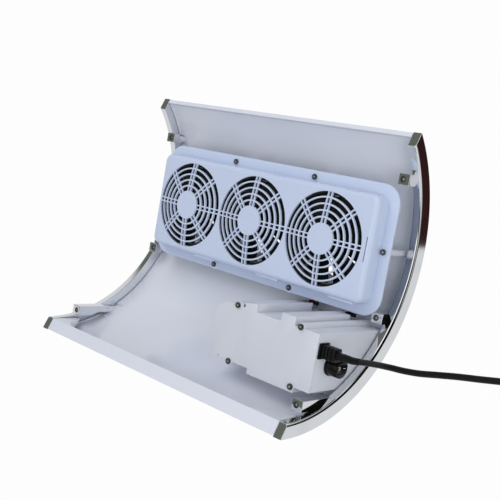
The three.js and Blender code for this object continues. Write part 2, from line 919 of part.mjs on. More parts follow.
const frameSolid = fanFrame();
const impellerSolid = impeller();
const statorSolid = stator();
for (const fan of fans) {
  const seat = new THREE.Group();
  seat.position.set(fan.x, fanRowV, fanFaceW);
  tilted.add(seat);
  addMesh(seat, `fan_frame_${fan.name}`, frameSolid, black);
  addMesh(seat, `fan_impeller_${fan.name}`, impellerSolid, black);
  addMesh(seat, `fan_stator_${fan.name}`, statorSolid, copper);
  addMesh(tilted, `intake_duct_${fan.name}`, intakeDuct(fan.x), white);
  addMesh(tilted, `intake_guard_${fan.name}`, intakeGuard(fan.x), white);
}

// Power box: below the tray's rim, with its cover just over the table
const boxEndX = flangeInnerX - gap;
const boxStartX = boxEndX - boxLength;
const boxTopV = rim.v1 + boxRimGap;
const boxBottomV = boxTopV + boxWidth;
const boxFootV = boxBottomV + boxFootReach;
const ductTopV = boxTopV - ductReach;
const ductEndW = rimTopW + ductEndRise;
const boxFaceW = (floorLevel - ductTopV * Math.sin(tilt)) / Math.cos(tilt) + boxTableGap;
const boardW = boxFaceW + boardRise;
const boardStartV = boxTopV + boardInset;
const inletV = boxTopV + inletInset;
const inletW = boxFaceW + inletRise;
const switchV = boxTopV + switchInset;
const switchW = boxFaceW + switchRise;
const tubLowW = boxFaceW + coverThickness + gap;

// The outline of the box in x and v: a long box with two wire ducts, a foot and a shoulder.
function boxOutline(amount) {
  const start = boxStartX + amount;
  const end = boxEndX - amount;
  const top = boxTopV + amount;
  const bottom = boxBottomV - amount;
  const foot = boxFootV - amount;
  const ductTop = ductTopV + amount;
  const firstEnd = boxEndX - firstDuctEnd - amount;
  const secondEnd = boxEndX - secondDuctEnd - amount;
  const secondStart = boxEndX - secondDuctEnd - secondDuctLength + amount;
  const footStart = boxEndX - boxFootStart + amount;
  const footEnd = boxEndX - boxFootEnd - amount;
  return [
    [start, top + boxShoulderDrop],
    [start + boxShoulder, top],
    [firstEnd, ductTop],
    [firstEnd, top],
    [secondStart, top],
    [secondStart, ductTop],
    [secondEnd, ductTop],
    [secondEnd, top],
    [end, top],
    [end, bottom],
    [footEnd, bottom],
    [footEnd, foot],
    [footStart, foot],
    [footStart, bottom],
    [start, bottom],
  ].map(([x, v]) => new THREE.Vector2(x, v));
}

const coverScrews = ['left', 'right'].flatMap((end) => {
  const x = boxEndX - (end === 'left' ? coverScrewLeft : coverScrewRight);
  return [
    { name: `front_${end}`, x, v: boxTopV - coverScrewRise },
    { name: `rear_${end}`, x, v: boxBottomV + coverScrewRise / 2 },
  ];
});
const ductEnds = [
  { x0: boxStartX + boxShoulder, x1: boxEndX - firstDuctEnd },
  { x0: boxEndX - secondDuctEnd - secondDuctLength, x1: boxEndX - secondDuctEnd },
];
const inletX = boxEndX + gap;

// The two wire ducts stop short of the shell and are open there; their mouths face the tray.
function powerBoxTub() {
  const reachW = shellInnerRadius;
  const walls = plate(boxOutline(0), [boxOutline(boxWall)], tubLowW, reachW);
  const ductTops = ductEnds.map(({ x0, x1 }) => block(
    x0 - overrun,
    x1 + bite,
    ductTopV - overrun,
    boxTopV,
    ductEndW,
    reachW + overrun,
  ));
  const backs = ductEnds.map(({ x0, x1 }) => block(x0, x1, boxTopV, boxTopV + boxWall, ductEndW, reachW));
  const bosses = coverScrews.map(({ x, v }) => rod(coverEar, x, v, tubLowW, reachW));
  const railV0 = boardStartV;
  const railV1 = boardStartV + boardWidth;
  const rails = [boardW - gap - railHeight, boardW + boardThickness + gap].flatMap((w) => [
    block(boxStartX + bite, boxStartX + boxWall + railReach, railV0, railV1, w, w + railHeight),
    block(boxEndX - boxWall - railReach, boxEndX - bite, railV0, railV1, w, w + railHeight),
  ]);
  const mouths = ductEnds.flatMap(({ x1 }) => [
    block(
      x1 - ductMouthWidth,
      x1 + overrun,
      ductTopV - overrun,
      ductTopV + 2 * boxWall + bite,
      ductEndW - ductMouthHeight,
      ductEndW + overrun,
    ),
    block(x1 - boxWall - bite, x1 + overrun, ductTopV - overrun, boxTopV - bite, ductEndW - ductSideMouth, ductEndW),
  ]);
  const inletHole = block(
    boxEndX - boxWall - overrun,
    boxEndX + overrun,
    inletV - inletBodyWidth / 2 - slip,
    inletV + inletBodyWidth / 2 + slip,
    inletW - inletBodyHeight / 2 - slip,
    inletW + inletBodyHeight / 2 + slip,
  );
  const switchHole = rodX(
    switchBody + 2 * slip,
    boxEndX - boxWall - overrun,
    boxEndX + overrun,
    switchV,
    switchW,
    18,
  );
  const whole = join([cut(walls, ductTops), ...backs, ...bosses, ...rails]);
  const holes = coverScrews.map(({ x, v }) => bossHole(x, v, tubLowW));
  return cut(whole, [...holes, ...mouths, inletHole, switchHole])
    .intersect(underShell(gap, boxStartX - overrun, boxEndX + overrun));
}

function powerBoxCover() {
  const [firstScrew, nextScrew] = coverScrews;
  const markX = firstScrew.x + markShift;
  const markV = firstScrew.v - markRise;
  const mark = block(
    markX - markHole / 2,
    markX + markHole / 2,
    markV - markHole / 2,
    markV + markHole / 2,
    boxFaceW - overrun,
    tubLowW,
  );
  const pin = rod(pinHole, nextScrew.x - pinHoleShift, nextScrew.v - pinHoleRise, boxFaceW - overrun, tubLowW, 8);
  const face = plate(boxOutline(0), [], boxFaceW, boxFaceW + coverThickness);
  const ears = coverScrews.map(({ x, v }) => rod(coverEar, x, v, boxFaceW, boxFaceW + coverThickness));
  const screwHoles = coverScrews.map(({ x, v }) => rod(screwHole, x, v, boxFaceW - overrun, tubLowW));
  return cut(join([face, ...ears]), [mark, pin, ...screwHoles]);
}

addMesh(tilted, 'power_box_tub', powerBoxTub(), white);
addMesh(tilted, 'power_box_cover', powerBoxCover(), white);
for (const place of coverScrews) {
  screw(
    tilted,
    `cover_screw_${place.name}`,
    place.x,
    place.v,
    boxFaceW - gap - screwHeadHeight,
    coverThickness + 2 * gap + bossHoleDepth - bite,
  );
}

// Power supply on its board, which slides into the rails
const boardX0 = boxStartX + boxWall + gap;
const boardX1 = boxEndX - boxWall - gap;
addMesh(tilted, 'circuit_board', block(
  boardX0,
  boardX1,
  boardStartV + gap,
  boardStartV + boardWidth - gap,
  boardW,
  boardW + boardThickness,
), { color: 0x2f6b3a, roughness: 0.5, metalness: 0.1 });
const partsW = boardW + boardThickness + gap;
const boardMidV = boardStartV + boardWidth / 2;
addMesh(tilted, 'transformer', block(
  boxEndX - transformerX,
  boxEndX - transformerX + transformerLength,
  boardMidV - transformerWidth / 2,
  boardMidV + transformerWidth / 2,
  partsW,
  partsW + transformerHeight,
), { color: 0xb8963c, roughness: 0.5, metalness: 0.2 });
addMesh(tilted, 'capacitor', rod(
  capacitorDiameter,
  boxEndX - capacitorX + capacitorDiameter,
  boardMidV,
  partsW,
  partsW + capacitorHeight,
), { color: 0x23252c, roughness: 0.35, metalness: 0.2 });

// Mains inlet: a flange outside the wall, a body through it and an open socket with two pins
const inletFaceX = inletX + inletFlange;
const socketX = inletFaceX - socketDepth;

function crossBlock(x0, x1, v, w, width, height) {
  return block(x0, x1, v - width / 2, v + width / 2, w - height / 2, w + height / 2);
}

const contactHole = contactDiameter + 2 * slip;

function mainsInlet() {
  const flange = crossBlock(inletX, inletFaceX, inletV, inletW, inletWidth, inletHeight);
  const body = crossBlock(
    inletX + bite - inletDepth,
    inletX + bite,
    inletV,
    inletW,
    inletBodyWidth,
    inletBodyHeight,
  );
  const socket = crossBlock(socketX, inletFaceX + overrun, inletV, inletW, socketWidth, socketHeight);
  const contacts = [-1, 1].map((side) => rodX(
    contactDiameter,
    socketX - bite,
    socketX + contactLength,
    inletV + (side * contactPitch) / 2,
    inletW,
    8,
  ));
  return join([cut(join([flange, body]), [socket]), ...contacts]);
}

const connectorX = inletFaceX + gap;
const gripEndX = connectorX + connectorGrip;
const bootEndX = gripEndX + connectorBoot;

// Appliance connector: nose in the socket, ribbed grip and a boot that narrows to the cord
function applianceConnector() {
  const grip = barX(roundedRectangle(
    inletV - connectorWidth / 2,
    inletV + connectorWidth / 2,
    inletW - connectorHeight / 2,
    inletW + connectorHeight / 2,
    connectorCorner,
    3,
  ), connectorX, gripEndX);
  const nose = crossBlock(
    connectorX - noseLength,
    connectorX + bite,
    inletV,
    inletW,
    socketWidth - 2 * slip,
    socketHeight - 2 * slip,
  );
  const boot = rodX(bootWidth, gripEndX - bite, bootEndX, inletV, inletW, 12);
  const grooves = [];
  const pitch = connectorGrip / (grooveCount + 1);
  for (let i = 1; i <= grooveCount; i += 1) {
    const x = connectorX + i * pitch;
    for (const side of [-1, 1]) {
      grooves.push(crossBlock(
        x - gripGroove / 2,
        x + gripGroove / 2,
        inletV,
        inletW + (side * connectorHeight) / 2,
        connectorWidth + overrun,
        gripGroove,
      ));
    }
  }
  const holes = [-1, 1].map((side) => rodX(
    contactHole,
    connectorX - noseLength - overrun,
    connectorX - noseLength + contactLength + overrun,
    inletV + (side * contactPitch) / 2,
    inletW,
    8,
  ));
  return cut(join([grip, nose, boot]), [...grooves, ...holes]);
}

addMesh(tilted, 'mains_inlet', mainsInlet(), black);
addMesh(tilted, 'appliance_connector', applianceConnector(), black);

// Round rocker switch: the rocker turns about an axis along v
const switchFaceX = inletX + barrelHeight;
const pivotX = switchFaceX - rockerPivotDepth;

function switchHousing() {
  const bezel = rodX(bezelDiameter, inletX, inletX + bezelThickness, switchV, switchW, 22);
  const barrel = rodX(barrelDiameter, inletX + bezelThickness - bite, switchFaceX, switchV, switchW, 22);
  const body = rodX(switchBody, inletX - switchBodyDepth, inletX + bite, switchV, switchW, 18);
  const pocket = crossBlock(
    switchFaceX - pocketDepth,
    switchFaceX + overrun,
    switchV,
    switchW,
    rockerWidth + 2 * slip,
    rockerLength + 2 * pocketSlip,
  );
  const pin = new THREE.CylinderGeometry(
    rockerPin / 2 + slip,
    rockerPin / 2 + slip,
    rockerWidth + 2 * (rockerPinReach + slip),
    10,
  );
  return cut(join([bezel, barrel, body]), [pocket, solid(pin, at(pivotX, switchV, switchW))]);
}

// The rocker is drawn level about its own pivot, then turned to its off position.
function rocker() {
  const half = rockerLength / 2;
  const outline = [
    [-half, rockerTipHeight],
    [-half + rockerTaper, -rockerBase],
    [half - rockerTaper, -rockerBase],
    [half, rockerTipHeight],
    [0, rockerTipHeight - rockerDip],
  ].map(([w, x]) => new THREE.Vector2(w, x));
  const turn = new THREE.Matrix4().makeBasis(
    new THREE.Vector3(0, 0, 1),
    new THREE.Vector3(1, 0, 0),
    new THREE.Vector3(0, 1, 0),
  );
  const body = solid(extruded(outline, -rockerWidth / 2, rockerWidth / 2), turn);
  const pin = new THREE.CylinderGeometry(rockerPin / 2, rockerPin / 2, rockerWidth + 2 * rockerPinReach, 10);
  return join([body, solid(pin)]);
}

addMesh(tilted, 'switch_housing', switchHousing(), black);
const rockerMesh = addMesh(tilted, 'switch_rocker', rocker(), black);
rockerMesh.position.set(pivotX, switchV, switchW);
rockerMesh.rotation.y = rockerTilt;

// A round tube along a smooth route, with a section of the given number of sides.
function tube(points, diameter, sides, step) {
  const curve = new THREE.CatmullRomCurve3(points, false, 'centripetal');
  const section = new THREE.Shape(circle(0, 0, diameter / 2, sides));
  const steps = Math.max(2, Math.round(curve.getLength() / step));
  return new THREE.ExtrudeGeometry(section, { steps, extrudePath: curve, bevelEnabled: false });
}

// Fan wires: out of the right fan's side, over the tray's rim, through a duct's mouth and down to the board
const wirePlaces = ['red', 'black'].map((name, i) => ({
  name,
  x: ductEnds[i].x1 - ductMouthWidth / 2,
  color: name === 'red' ? 0xb01818 : 0x141414,
}));
const wireStartV = fanRowV + fanSize / 2 + gap;
const wireRadius = wireDiameter / 2;
const wireHighW = rimTopW + gap + wireDiameter;
for (const { name, x, color } of wirePlaces) {
  const start = new THREE.Vector3(x, wireStartV, wireHighW);
  const overRim = new THREE.Vector3(x, rim.v1, wireHighW);
  const inMouth = new THREE.Vector3(x, ductTopV + boxWall, wireHighW - wireRadius);
  const inBox = new THREE.Vector3(x, boxTopV + boxWall, wireHighW - ductMouthHeight);
  const end = new THREE.Vector3(x, boardStartV + gap + wireRadius, boardW + boardThickness + gap);
  const nearEnd = end.clone().setZ(end.z + 2 * wireDiameter);
  addMesh(
    tilted,
    `fan_wire_${name}`,
    tube([start, overRim, inMouth, inBox, nearEnd, end], wireDiameter, 8, 3 * wireDiameter),
    { color, roughness: 0.5, metalness: 0 },
  );
}

// Cord on the table
const routePoints = cordRoute.map((point) => new THREE.Vector3(...point));
addMesh(part, 'mains_cord', tube(routePoints, cordDiameter, cordSides, cordStep), black);

// Coil: one tube that spirals in on the lower layer, climbs, and spirals out on the upper one
const cordRadius = cordDiameter / 2;
const routeEnd = routePoints[routePoints.length - 1];
const heading = routeEnd.clone().sub(routePoints[routePoints.length - 2]).setZ(0).normalize();
const coilStart = routeEnd.clone().addScaledVector(heading, gap + cordDiameter);
const coilTurns = 2 * coilLoopsPerLayer + coilExitTurn;
const coilOuterRadius = coilInnerRadius + coilPitch * coilLoopsPerLayer;
const coilStartAngle = Math.atan2(heading.x, -heading.y);
const coilCentre = new THREE.Vector3(
  coilStart.x - coilOuterRadius * Math.cos(coilStartAngle),
  coilStart.y - coilOuterRadius * Math.sin(coilStartAngle),
  0,
);
const coilLowZ = coilLift + cordRadius;

function coilRadius(turns) {
  return coilInnerRadius + coilPitch * Math.abs(turns - coilLoopsPerLayer);
}

function coilPoint(turns) {
  const fromReverse = turns - coilLoopsPerLayer;
  const radius = coilRadius(turns);
  const climb = THREE.MathUtils.clamp(fromReverse * 2 + 0.5, 0, 1);
  const angle = coilStartAngle - 2 * Math.PI * turns;
  return new THREE.Vector3(
    coilCentre.x + radius * Math.cos(angle),
    coilCentre.y + radius * Math.sin(angle),
    coilLowZ + coilPitch * climb,
  );
}

const coilExitAngle = coilStartAngle - 2 * Math.PI * coilTurns;
const exitHeading = new THREE.Vector3(Math.sin(coilExitAngle), -Math.cos(coilExitAngle), 0);

function coilRoute() {
  const points = [coilStart.clone().addScaledVector(heading, -cordDiameter)];
  const count = Math.round(coilTurns * coilSteps);
  for (let i = 0; i <= count; i += 1) points.push(coilPoint((coilTurns * i) / count));
  points.push(points[points.length - 1].clone().addScaledVector(exitHeading, cordDiameter));
  return points;
}

function leastGap(points, diameter) {
  let least = Infinity;
  const skip = Math.ceil(coilSteps / 3);
  for (let i = 0; i < points.length; i += 1) {
    for (let j = i + skip; j < points.length; j += 1) {
      least = Math.min(least, points[i].distanceTo(points[j]) - diameter);
    }
  }
  return least;
}

// A tube through given points, with one ring of corners at each and flat ends.
function ringTube(points, diameter, sides, firstWay, lastWay) {
  const corners = [];
  const faces = [];
  const up = new THREE.Vector3(0, 0, 1);
  points.forEach((point, i) => {
    const before = points[Math.max(i - 1, 0)];
    const after = points[Math.min(i + 1, points.length - 1)];
    const way = after.clone().sub(before).normalize();
    if (i < 2) way.copy(firstWay);
    if (i > points.length - 3) way.copy(lastWay);
    const side = new THREE.Vector3().crossVectors(way, up).normalize();
    const rise = new THREE.Vector3().crossVectors(side, way);
    for (let k = 0; k < sides; k += 1) {
      const angle = (2 * Math.PI * (k + 0.5)) / sides;
      const corner = point.clone()
        .addScaledVector(side, (diameter / 2) * Math.cos(angle))
        .addScaledVector(rise, (diameter / 2) * Math.sin(angle));
      corners.push(corner.x, corner.y, corner.z);
    }
  });
  for (let i = 0; i < points.length - 1; i += 1) {
    for (let k = 0; k < sides; k += 1) {
      const a = i * sides + k;
      const b = i * sides + ((k + 1) % sides);
      faces.push(a, a + sides, b + sides, a, b + sides, b);
    }
  }
  const last = (points.length - 1) * sides;
  for (let k = 1; k < sides - 1; k += 1) {
    faces.push(0, k, k + 1);
    faces.push(last, last + k + 1, last + k);
  }
  const geometry = new THREE.BufferGeometry();
  geometry.setAttribute('position', new THREE.Float32BufferAttribute(corners, 3));
  geometry.setIndex(faces);
  return geometry;
}

const coilPoints = coilRoute();
console.log('least gap of the coil to itself, mm:', leastGap(coilPoints, cordDiameter).toFixed(2));
addMesh(part, 'cord_coil', ringTube(coilPoints, cordDiameter, coilSides, heading, exitHeading), black);

// Tie: a flat band round all the loops, half a turn from the coil's start
function cordTie() {
  const tieTurn = 0.5;
  const radii = [];
  for (let turns = tieTurn; turns < coilTurns; turns += 1) radii.push(coilRadius(turns));
  const inner = {
    r0: Math.min(...radii) - cordRadius - tieSlack,
    r1: Math.max(...radii) + cordRadius + tieSlack,
    z0: coilLift - tieSlack,
    z1: coilLift + cordDiameter + coilPitch + tieSlack,
  };
  const outside = rectangle(
    inner.r0 - tieThickness,
    inner.r1 + tieThickness,
    inner.z0 - tieThickness,
    inner.z1 + tieThickness,
  );
  const band = cut(barX(outside, -tieWidth / 2, tieWidth / 2), [
    barX(rectangle(inner.r0, inner.r1, inner.z0, inner.z1), -tieWidth, tieWidth),
  ]);
  const turn = new THREE.Matrix4().makeRotationZ(coilStartAngle - 2 * Math.PI * tieTurn - Math.PI / 2);
  turn.setPosition(coilCentre);
  return solid(geometryOf(band), turn);
}

addMesh(part, 'cord_tie', cordTie(), black);

// Tail of the cord, down from the coil's upper layer to the table and up into the plug
const tailStart = coilPoints[coilPoints.length - 1].clone().addScaledVector(exitHeading, gap);
const plugAxisZ = plugHeight / 2;
const tailEnd = tailStart.clone().addScaledVector(exitHeading, tailLength).setZ(plugAxisZ);
const tailPoints = [
  tailStart,
  ...tailShares.map(([alongShare, riseShare], i) => {
    const high = i < tailShares.length / 2 ? tailStart.z : plugAxisZ;
    const point = tailStart.clone().addScaledVector(exitHeading, tailLength * alongShare);
    return point.setZ(tailFloor + (high - tailFloor) * riseShare);
  }),
  tailEnd,
];
addMesh(part, 'cord_tail', tube(tailPoints, cordDiameter, cordSides, cordStep), black);

// Mains plug, lying flat on the table: drawn along +X from the cord's end
const plugGroup = new THREE.Group();
plugGroup.position.copy(tailEnd).addScaledVector(exitHeading, gap).setZ(0);
plugGroup.rotation.z = Math.atan2(exitHeading.y, exitHeading.x);
part.add(plugGroup);

function mainsPlug() {
  const wide = plugWidth / 2;
  const neck = plugNeck / 2;
  const body = plate([
    [0, -neck], [plugLength / 3, -wide], [plugLength, -wide],
    [plugLength, wide], [plugLength / 3, wide], [0, neck],
  ].map(([x, y]) => new THREE.Vector2(x, y)), [], 0, plugHeight);
  const seats = [-1, 1].map((side) => rodX(
    plugPin + 2 * slip,
    plugLength - plugPinSeat,
    plugLength + overrun,
    (side * plugPinPitch) / 2,
    plugAxisZ,
  ));
  return cut(body, seats);
}

addMesh(plugGroup, 'mains_plug', mainsPlug(), black);
[-1, 1].forEach((side, i) => addMesh(plugGroup, `mains_plug_pin_${i + 1}`, rodX(
  plugPin,
  plugLength - plugPinSeat + gap,
  plugLength + plugPinLength,
  (side * plugPinPitch) / 2,
  plugAxisZ,
), brass));

export default part;
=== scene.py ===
# %% [markdown]
# # A nail dust collector, seen from below
#
# The machine is a white arch that stands on a table over a hand. Three fans
# under it draw dust away. The photograph looks up at its underside, so the
# camera stands below the table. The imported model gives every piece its
# place, so we start by loading it.

# %% Load the frame
import bpy
import json
from math import acos, asin, atan2, cos, hypot, pi, radians, sin
from mathutils import Matrix, Vector

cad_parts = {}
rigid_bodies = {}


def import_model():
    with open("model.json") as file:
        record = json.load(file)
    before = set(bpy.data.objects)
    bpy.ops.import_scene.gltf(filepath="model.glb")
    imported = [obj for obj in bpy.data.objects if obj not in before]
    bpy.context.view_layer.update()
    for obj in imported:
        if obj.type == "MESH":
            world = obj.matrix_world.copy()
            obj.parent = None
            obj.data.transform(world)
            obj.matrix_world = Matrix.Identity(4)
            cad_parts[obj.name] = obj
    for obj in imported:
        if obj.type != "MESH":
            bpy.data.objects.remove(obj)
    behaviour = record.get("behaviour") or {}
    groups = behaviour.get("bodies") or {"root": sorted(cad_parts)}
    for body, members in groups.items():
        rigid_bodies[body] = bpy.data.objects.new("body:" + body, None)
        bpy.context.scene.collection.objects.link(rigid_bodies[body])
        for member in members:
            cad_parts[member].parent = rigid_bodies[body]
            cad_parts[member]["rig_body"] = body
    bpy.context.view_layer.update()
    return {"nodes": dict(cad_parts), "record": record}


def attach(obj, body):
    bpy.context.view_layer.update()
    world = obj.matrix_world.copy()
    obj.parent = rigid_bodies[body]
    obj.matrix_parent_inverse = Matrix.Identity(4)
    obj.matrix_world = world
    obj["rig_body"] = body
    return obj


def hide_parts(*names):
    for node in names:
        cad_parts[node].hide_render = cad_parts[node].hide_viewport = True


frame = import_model()
bpy.ops.object.select_all(action="DESELECT")

# %% [markdown]
# ## Sizes and the tilted direction
#
# The helpers take millimetres and turn them into metres. Everything under
# the arch is moulded and screwed along one slanted direction. We draw those
# pieces upright, as x, v (across the arch) and w (outwards), and then seat
# them with one turn and one drop.

# %% Sizes
MM = 0.001
TILT = radians(24)
ARCH_HEIGHT, HALF_DEPTH = 103, 152.5
ARCH_RADIUS = (ARCH_HEIGHT ** 2 + HALF_DEPTH ** 2) / (2 * ARCH_HEIGHT)
FLOOR = ARCH_RADIUS - ARCH_HEIGHT
SHELL_OUT = ARCH_RADIUS - 0.6
SHELL_IN = SHELL_OUT - 2.6
TRIM_HEIGHT, LIP_Y = 87.3, 138.1
TRIM_IN = (TRIM_HEIGHT ** 2 + LIP_Y ** 2) / (2 * TRIM_HEIGHT)
TRIM_CENTRE = TRIM_HEIGHT - TRIM_IN
TRIM_X, END_X = 170.7, 180
SHELL_X = TRIM_X - 0.3
SIDES = (-1, 1)
CORNERS = [(i, j) for i in SIDES for j in SIDES]
print(f"arch radius {ARCH_RADIUS:.1f} mm, trim inner radius {TRIM_IN:.1f} mm")

# %% [markdown]
# ## The camera
#
# The lens and the place come from fitting known corners of the arch to the
# photograph. The camera looks up at 46 degrees from below the table.

# %% Camera
SENSOR, PICTURE_WIDTH, FOCAL_PIXELS = 36, 500, 851.046
CAMERA_PLACE = (604.98, 163.09, -602.86)
right = Vector((0.719859, -0.432744, 0.542711))
down = Vector((0.20617, 0.879885, 0.428132))
forward = Vector((-0.662795, -0.196303, 0.722612))
camera_data = bpy.data.cameras.new("camera")
camera_data.sensor_width = SENSOR
camera_data.lens = SENSOR * FOCAL_PIXELS / PICTURE_WIDTH
camera_data.clip_start = 0.01
camera = bpy.data.objects.new("camera", camera_data)
bpy.context.scene.collection.objects.link(camera)
turn = Matrix((right, -down, -forward)).transposed()
camera.matrix_world = Matrix.Translation(Vector(CAMERA_PLACE) * MM) @ turn.to_4x4()
bpy.context.scene.camera = camera
bpy.context.scene.view_settings.view_transform = "Standard"
print(f"lens {camera_data.lens:.1f} mm")

# %% [markdown]
# ## Small helpers for modelling
#
# Most operators act on what is selected, so one helper picks pieces and one
# opens a piece in edit mode. There, edges or faces are picked by place,
# through a test that all their corners have to pass.

# %% Picking, editing and applying
def pick(*pieces):
    bpy.ops.object.select_all(action="DESELECT")
    for piece in pieces:
        piece.select_set(True)
    bpy.context.view_layer.objects.active = pieces[0]


def merged(pieces):
    pick(*pieces)
    bpy.ops.object.join()
    return bpy.context.object


class Editing:
    """Edit mode with everything selected, or only what passes a test in millimetres."""

    def __init__(self, piece, kind="VERT", test=None):
        self.piece, self.kind, self.test = piece, kind, test

    def __enter__(self):
        pick(self.piece)
        bpy.ops.object.mode_set(mode="EDIT")
        bpy.ops.mesh.select_mode(type=self.kind)
        bpy.ops.mesh.select_all(action="DESELECT" if self.test else "SELECT")
        if self.test:
            bpy.ops.object.mode_set(mode="OBJECT")
            mesh = self.piece.data
            good = [self.test(*(vertex.co / MM)) for vertex in mesh.vertices]
            for element in mesh.edges if self.kind == "EDGE" else mesh.polygons:
                element.select = all(good[corner] for corner in element.vertices)
            bpy.ops.object.mode_set(mode="EDIT")

    def __exit__(self, *reason):
        bpy.ops.object.mode_set(mode="OBJECT")


def tidy(piece):
    """Merges doubled points, drops loose ones and turns the faces outwards."""
    with Editing(piece):
        bpy.ops.mesh.remove_doubles(threshold=1e-6)
        bpy.ops.mesh.delete_loose()
        bpy.ops.mesh.select_all(action="SELECT")
        bpy.ops.mesh.normals_make_consistent()
    return piece


def applied(piece):
    pick(piece)
    bpy.ops.object.transform_apply(location=True, rotation=True, scale=True)
    return piece


def settle(piece, location=(0, 0, 0), turn=(0, 0, 0)):
    """Turns a piece, moves it to a location in metres, and applies both."""
    piece.rotation_euler, piece.location = turn, location
    return applied(piece)


def changed(piece, kind, **settings):
    """Applies one modifier to a piece."""
    pick(piece)
    modifier = piece.modifiers.new("change", kind)
    for name, value in settings.items():
        setattr(modifier, name, value)
    bpy.ops.object.modifier_apply(modifier=modifier.name)
    return piece


def tell(piece):
    print(piece.name, "has", len(piece.data.polygons), "faces")


print("picking helpers are ready")

# %% [markdown]
# Three ways to make a body: a slab is an extruded outline, a turned body
# is an outline spun about an axis, and a block is a cube. An outline starts
# as a circle with as many corners as needed, which are then moved.

# %% Slabs, turned bodies and blocks
ORDERS = {
    "Z": lambda a, b, c: (a, b, c),
    "X": lambda a, b, c: (c, a, b),
    "V": lambda a, b, c: (a, c, b),
}


def outline(name, corners, fill="NGON"):
    bpy.ops.mesh.primitive_circle_add(vertices=len(corners), fill_type=fill)
    piece = bpy.context.object
    piece.name = piece.data.name = name
    for vertex, corner in zip(piece.data.vertices, corners):
        vertex.co = Vector(corner) * MM
    piece.data.update()
    return piece


def slab(name, corners, low, high, along="Z", stops=()):
    """Pushes (x, v) pairs along Z, (y, z) pairs along X or (x, w) pairs along V."""
    order = ORDERS[along]
    piece = outline(name, [order(a, b, low) for a, b in corners])
    with Editing(piece, "FACE"):
        for start, stop in zip((low, *stops), (*stops, high)):
            push = Vector(order(0, 0, stop - start)) * MM
            bpy.ops.mesh.extrude_region_move(TRANSFORM_OT_translate={"value": push})
    return tidy(piece)


def spun(name, points, centre, axis, steps):
    piece = outline(name, points, "NOTHING")
    with Editing(piece):
        bpy.ops.mesh.spin(
            steps=steps, angle=2 * pi, center=[length * MM for length in centre], axis=axis
        )
    return tidy(piece)


def turned(name, corners, steps=48, x=0, v=0):
    """An outline of (radius, w) pairs spun about an upright axis at x, v."""
    return spun(name, [(x + radius, v, w) for radius, w in corners], (x, v, 0), (0, 0, 1), steps)


def turned_along(name, corners, v, w, steps):
    """An outline of (x, radius) pairs spun about an axis along the arch."""
    return spun(name, [(x, v + radius, w) for x, radius in corners], (0, v, w), (1, 0, 0), steps)


def repeat(piece, count):
    """Adds turned copies about the upright axis at the origin, to count in all."""
    angle = -2 * pi * (count - 1) / count
    with Editing(piece):
        bpy.ops.mesh.spin(
            steps=count - 1, dupli=True, angle=angle, center=(0, 0, 0), axis=(0, 0, 1)
        )


def block(name, x0, x1, v0, v1, w0, w1):
    bpy.ops.mesh.primitive_cube_add(
        size=1,
        location=(Vector((x0 + x1, v0 + v1, w0 + w1)) / 2) * MM,
        scale=Vector((x1 - x0, v1 - v0, w1 - w0)) * MM,
    )
    piece = bpy.context.object
    piece.name = piece.data.name = name
    return applied(piece)


def arc(x, v, radius, start, end, steps):
    turns = [start + (end - start) * i / steps for i in range(steps + 1)]
    return [(x + radius * cos(a), v + radius * sin(a)) for a in turns]


def circle(x, v, radius, sides):
    return arc(x, v, radius, 0, 2 * pi, sides)[:-1]


def rod(name, diameter, x, v, w0, w1, sides=32):
    return slab(name, circle(x, v, diameter / 2, sides), w0, w1)


def rods(name, diameter, places, w0, w1, sides):
    """Upright rods of one size at several (x, v) places, as one piece."""
    return merged([rod(name, diameter, x, v, w0, w1, sides) for x, v in places])


def rounded(x0, x1, v0, v1, radius, steps=8):
    corners = [(x1, v0, -1, 1, -0.5), (x1, v1, -1, -1, 0), (x0, v1, 1, -1, 0.5), (x0, v0, 1, 1, 1)]
    points = []
    for x, v, side_x, side_v, start in corners:
        middle = (x + side_x * radius, v + side_v * radius)
        points += arc(*middle, radius, start * pi, (start + 0.5) * pi, steps)
    return points


def over(radius, centre=-FLOOR, steps=112):
    """An arc over the table from the rear edge to the front edge, as (y, z) pairs."""
    reach = acos(-centre / radius)
    turns = [reach - 2 * reach * i / steps for i in range(steps + 1)]
    return [(radius * sin(a), centre + radius * cos(a)) for a in turns]


def under(name, radius, x0, x1, centre=-FLOOR):
    """The whole space under an arc over the table."""
    return slab(name, over(radius, centre), x0, x1, "X")


def band(name, outer, inner, x0, x1, stops=()):
    return slab(name, outer + inner[::-1], x0, x1, "X", stops)


print("an arc over the table has", len(over(SHELL_OUT)), "points")

# %% [markdown]
# Finishing steps that every piece shares: booleans, bevels, copies, and the
# seat that turns an upright drawing into the slanted direction.

# %% Cutting, joining, rounding and seating
def boolean(piece, tool, operation):
    changed(piece, "BOOLEAN", operation=operation, solver="EXACT", object=tool)
    bpy.data.meshes.remove(tool.data)
    return piece


def cut(piece, tool):
    return boolean(piece, tool, "DIFFERENCE")


def join(piece, tool):
    return boolean(piece, tool, "UNION")


def keep_inside(piece, tool):
    return boolean(piece, tool, "INTERSECT")


def close_up(piece):
    """Closes the hairline slits that a boolean can leave where faces nearly meet."""
    with Editing(piece, "EDGE"):
        bpy.ops.mesh.remove_doubles(threshold=3e-6)
        bpy.ops.mesh.select_all(action="DESELECT")
        bpy.ops.mesh.select_non_manifold(
            use_wire=False, use_multi_face=False, use_non_contiguous=False, use_verts=False
        )
        bpy.ops.mesh.fill_holes(sides=12)
    return tidy(piece)


def round_edges(piece, width, segments=2, angle=35):
    return changed(
        piece, "BEVEL", width=width * MM, segments=segments, limit_method="ANGLE",
        angle_limit=radians(angle), miter_outer="MITER_ARC",
    )


def smooth(piece, angle=32):
    pick(piece)
    bpy.ops.object.shade_smooth_by_angle(angle=radians(angle))
    return piece


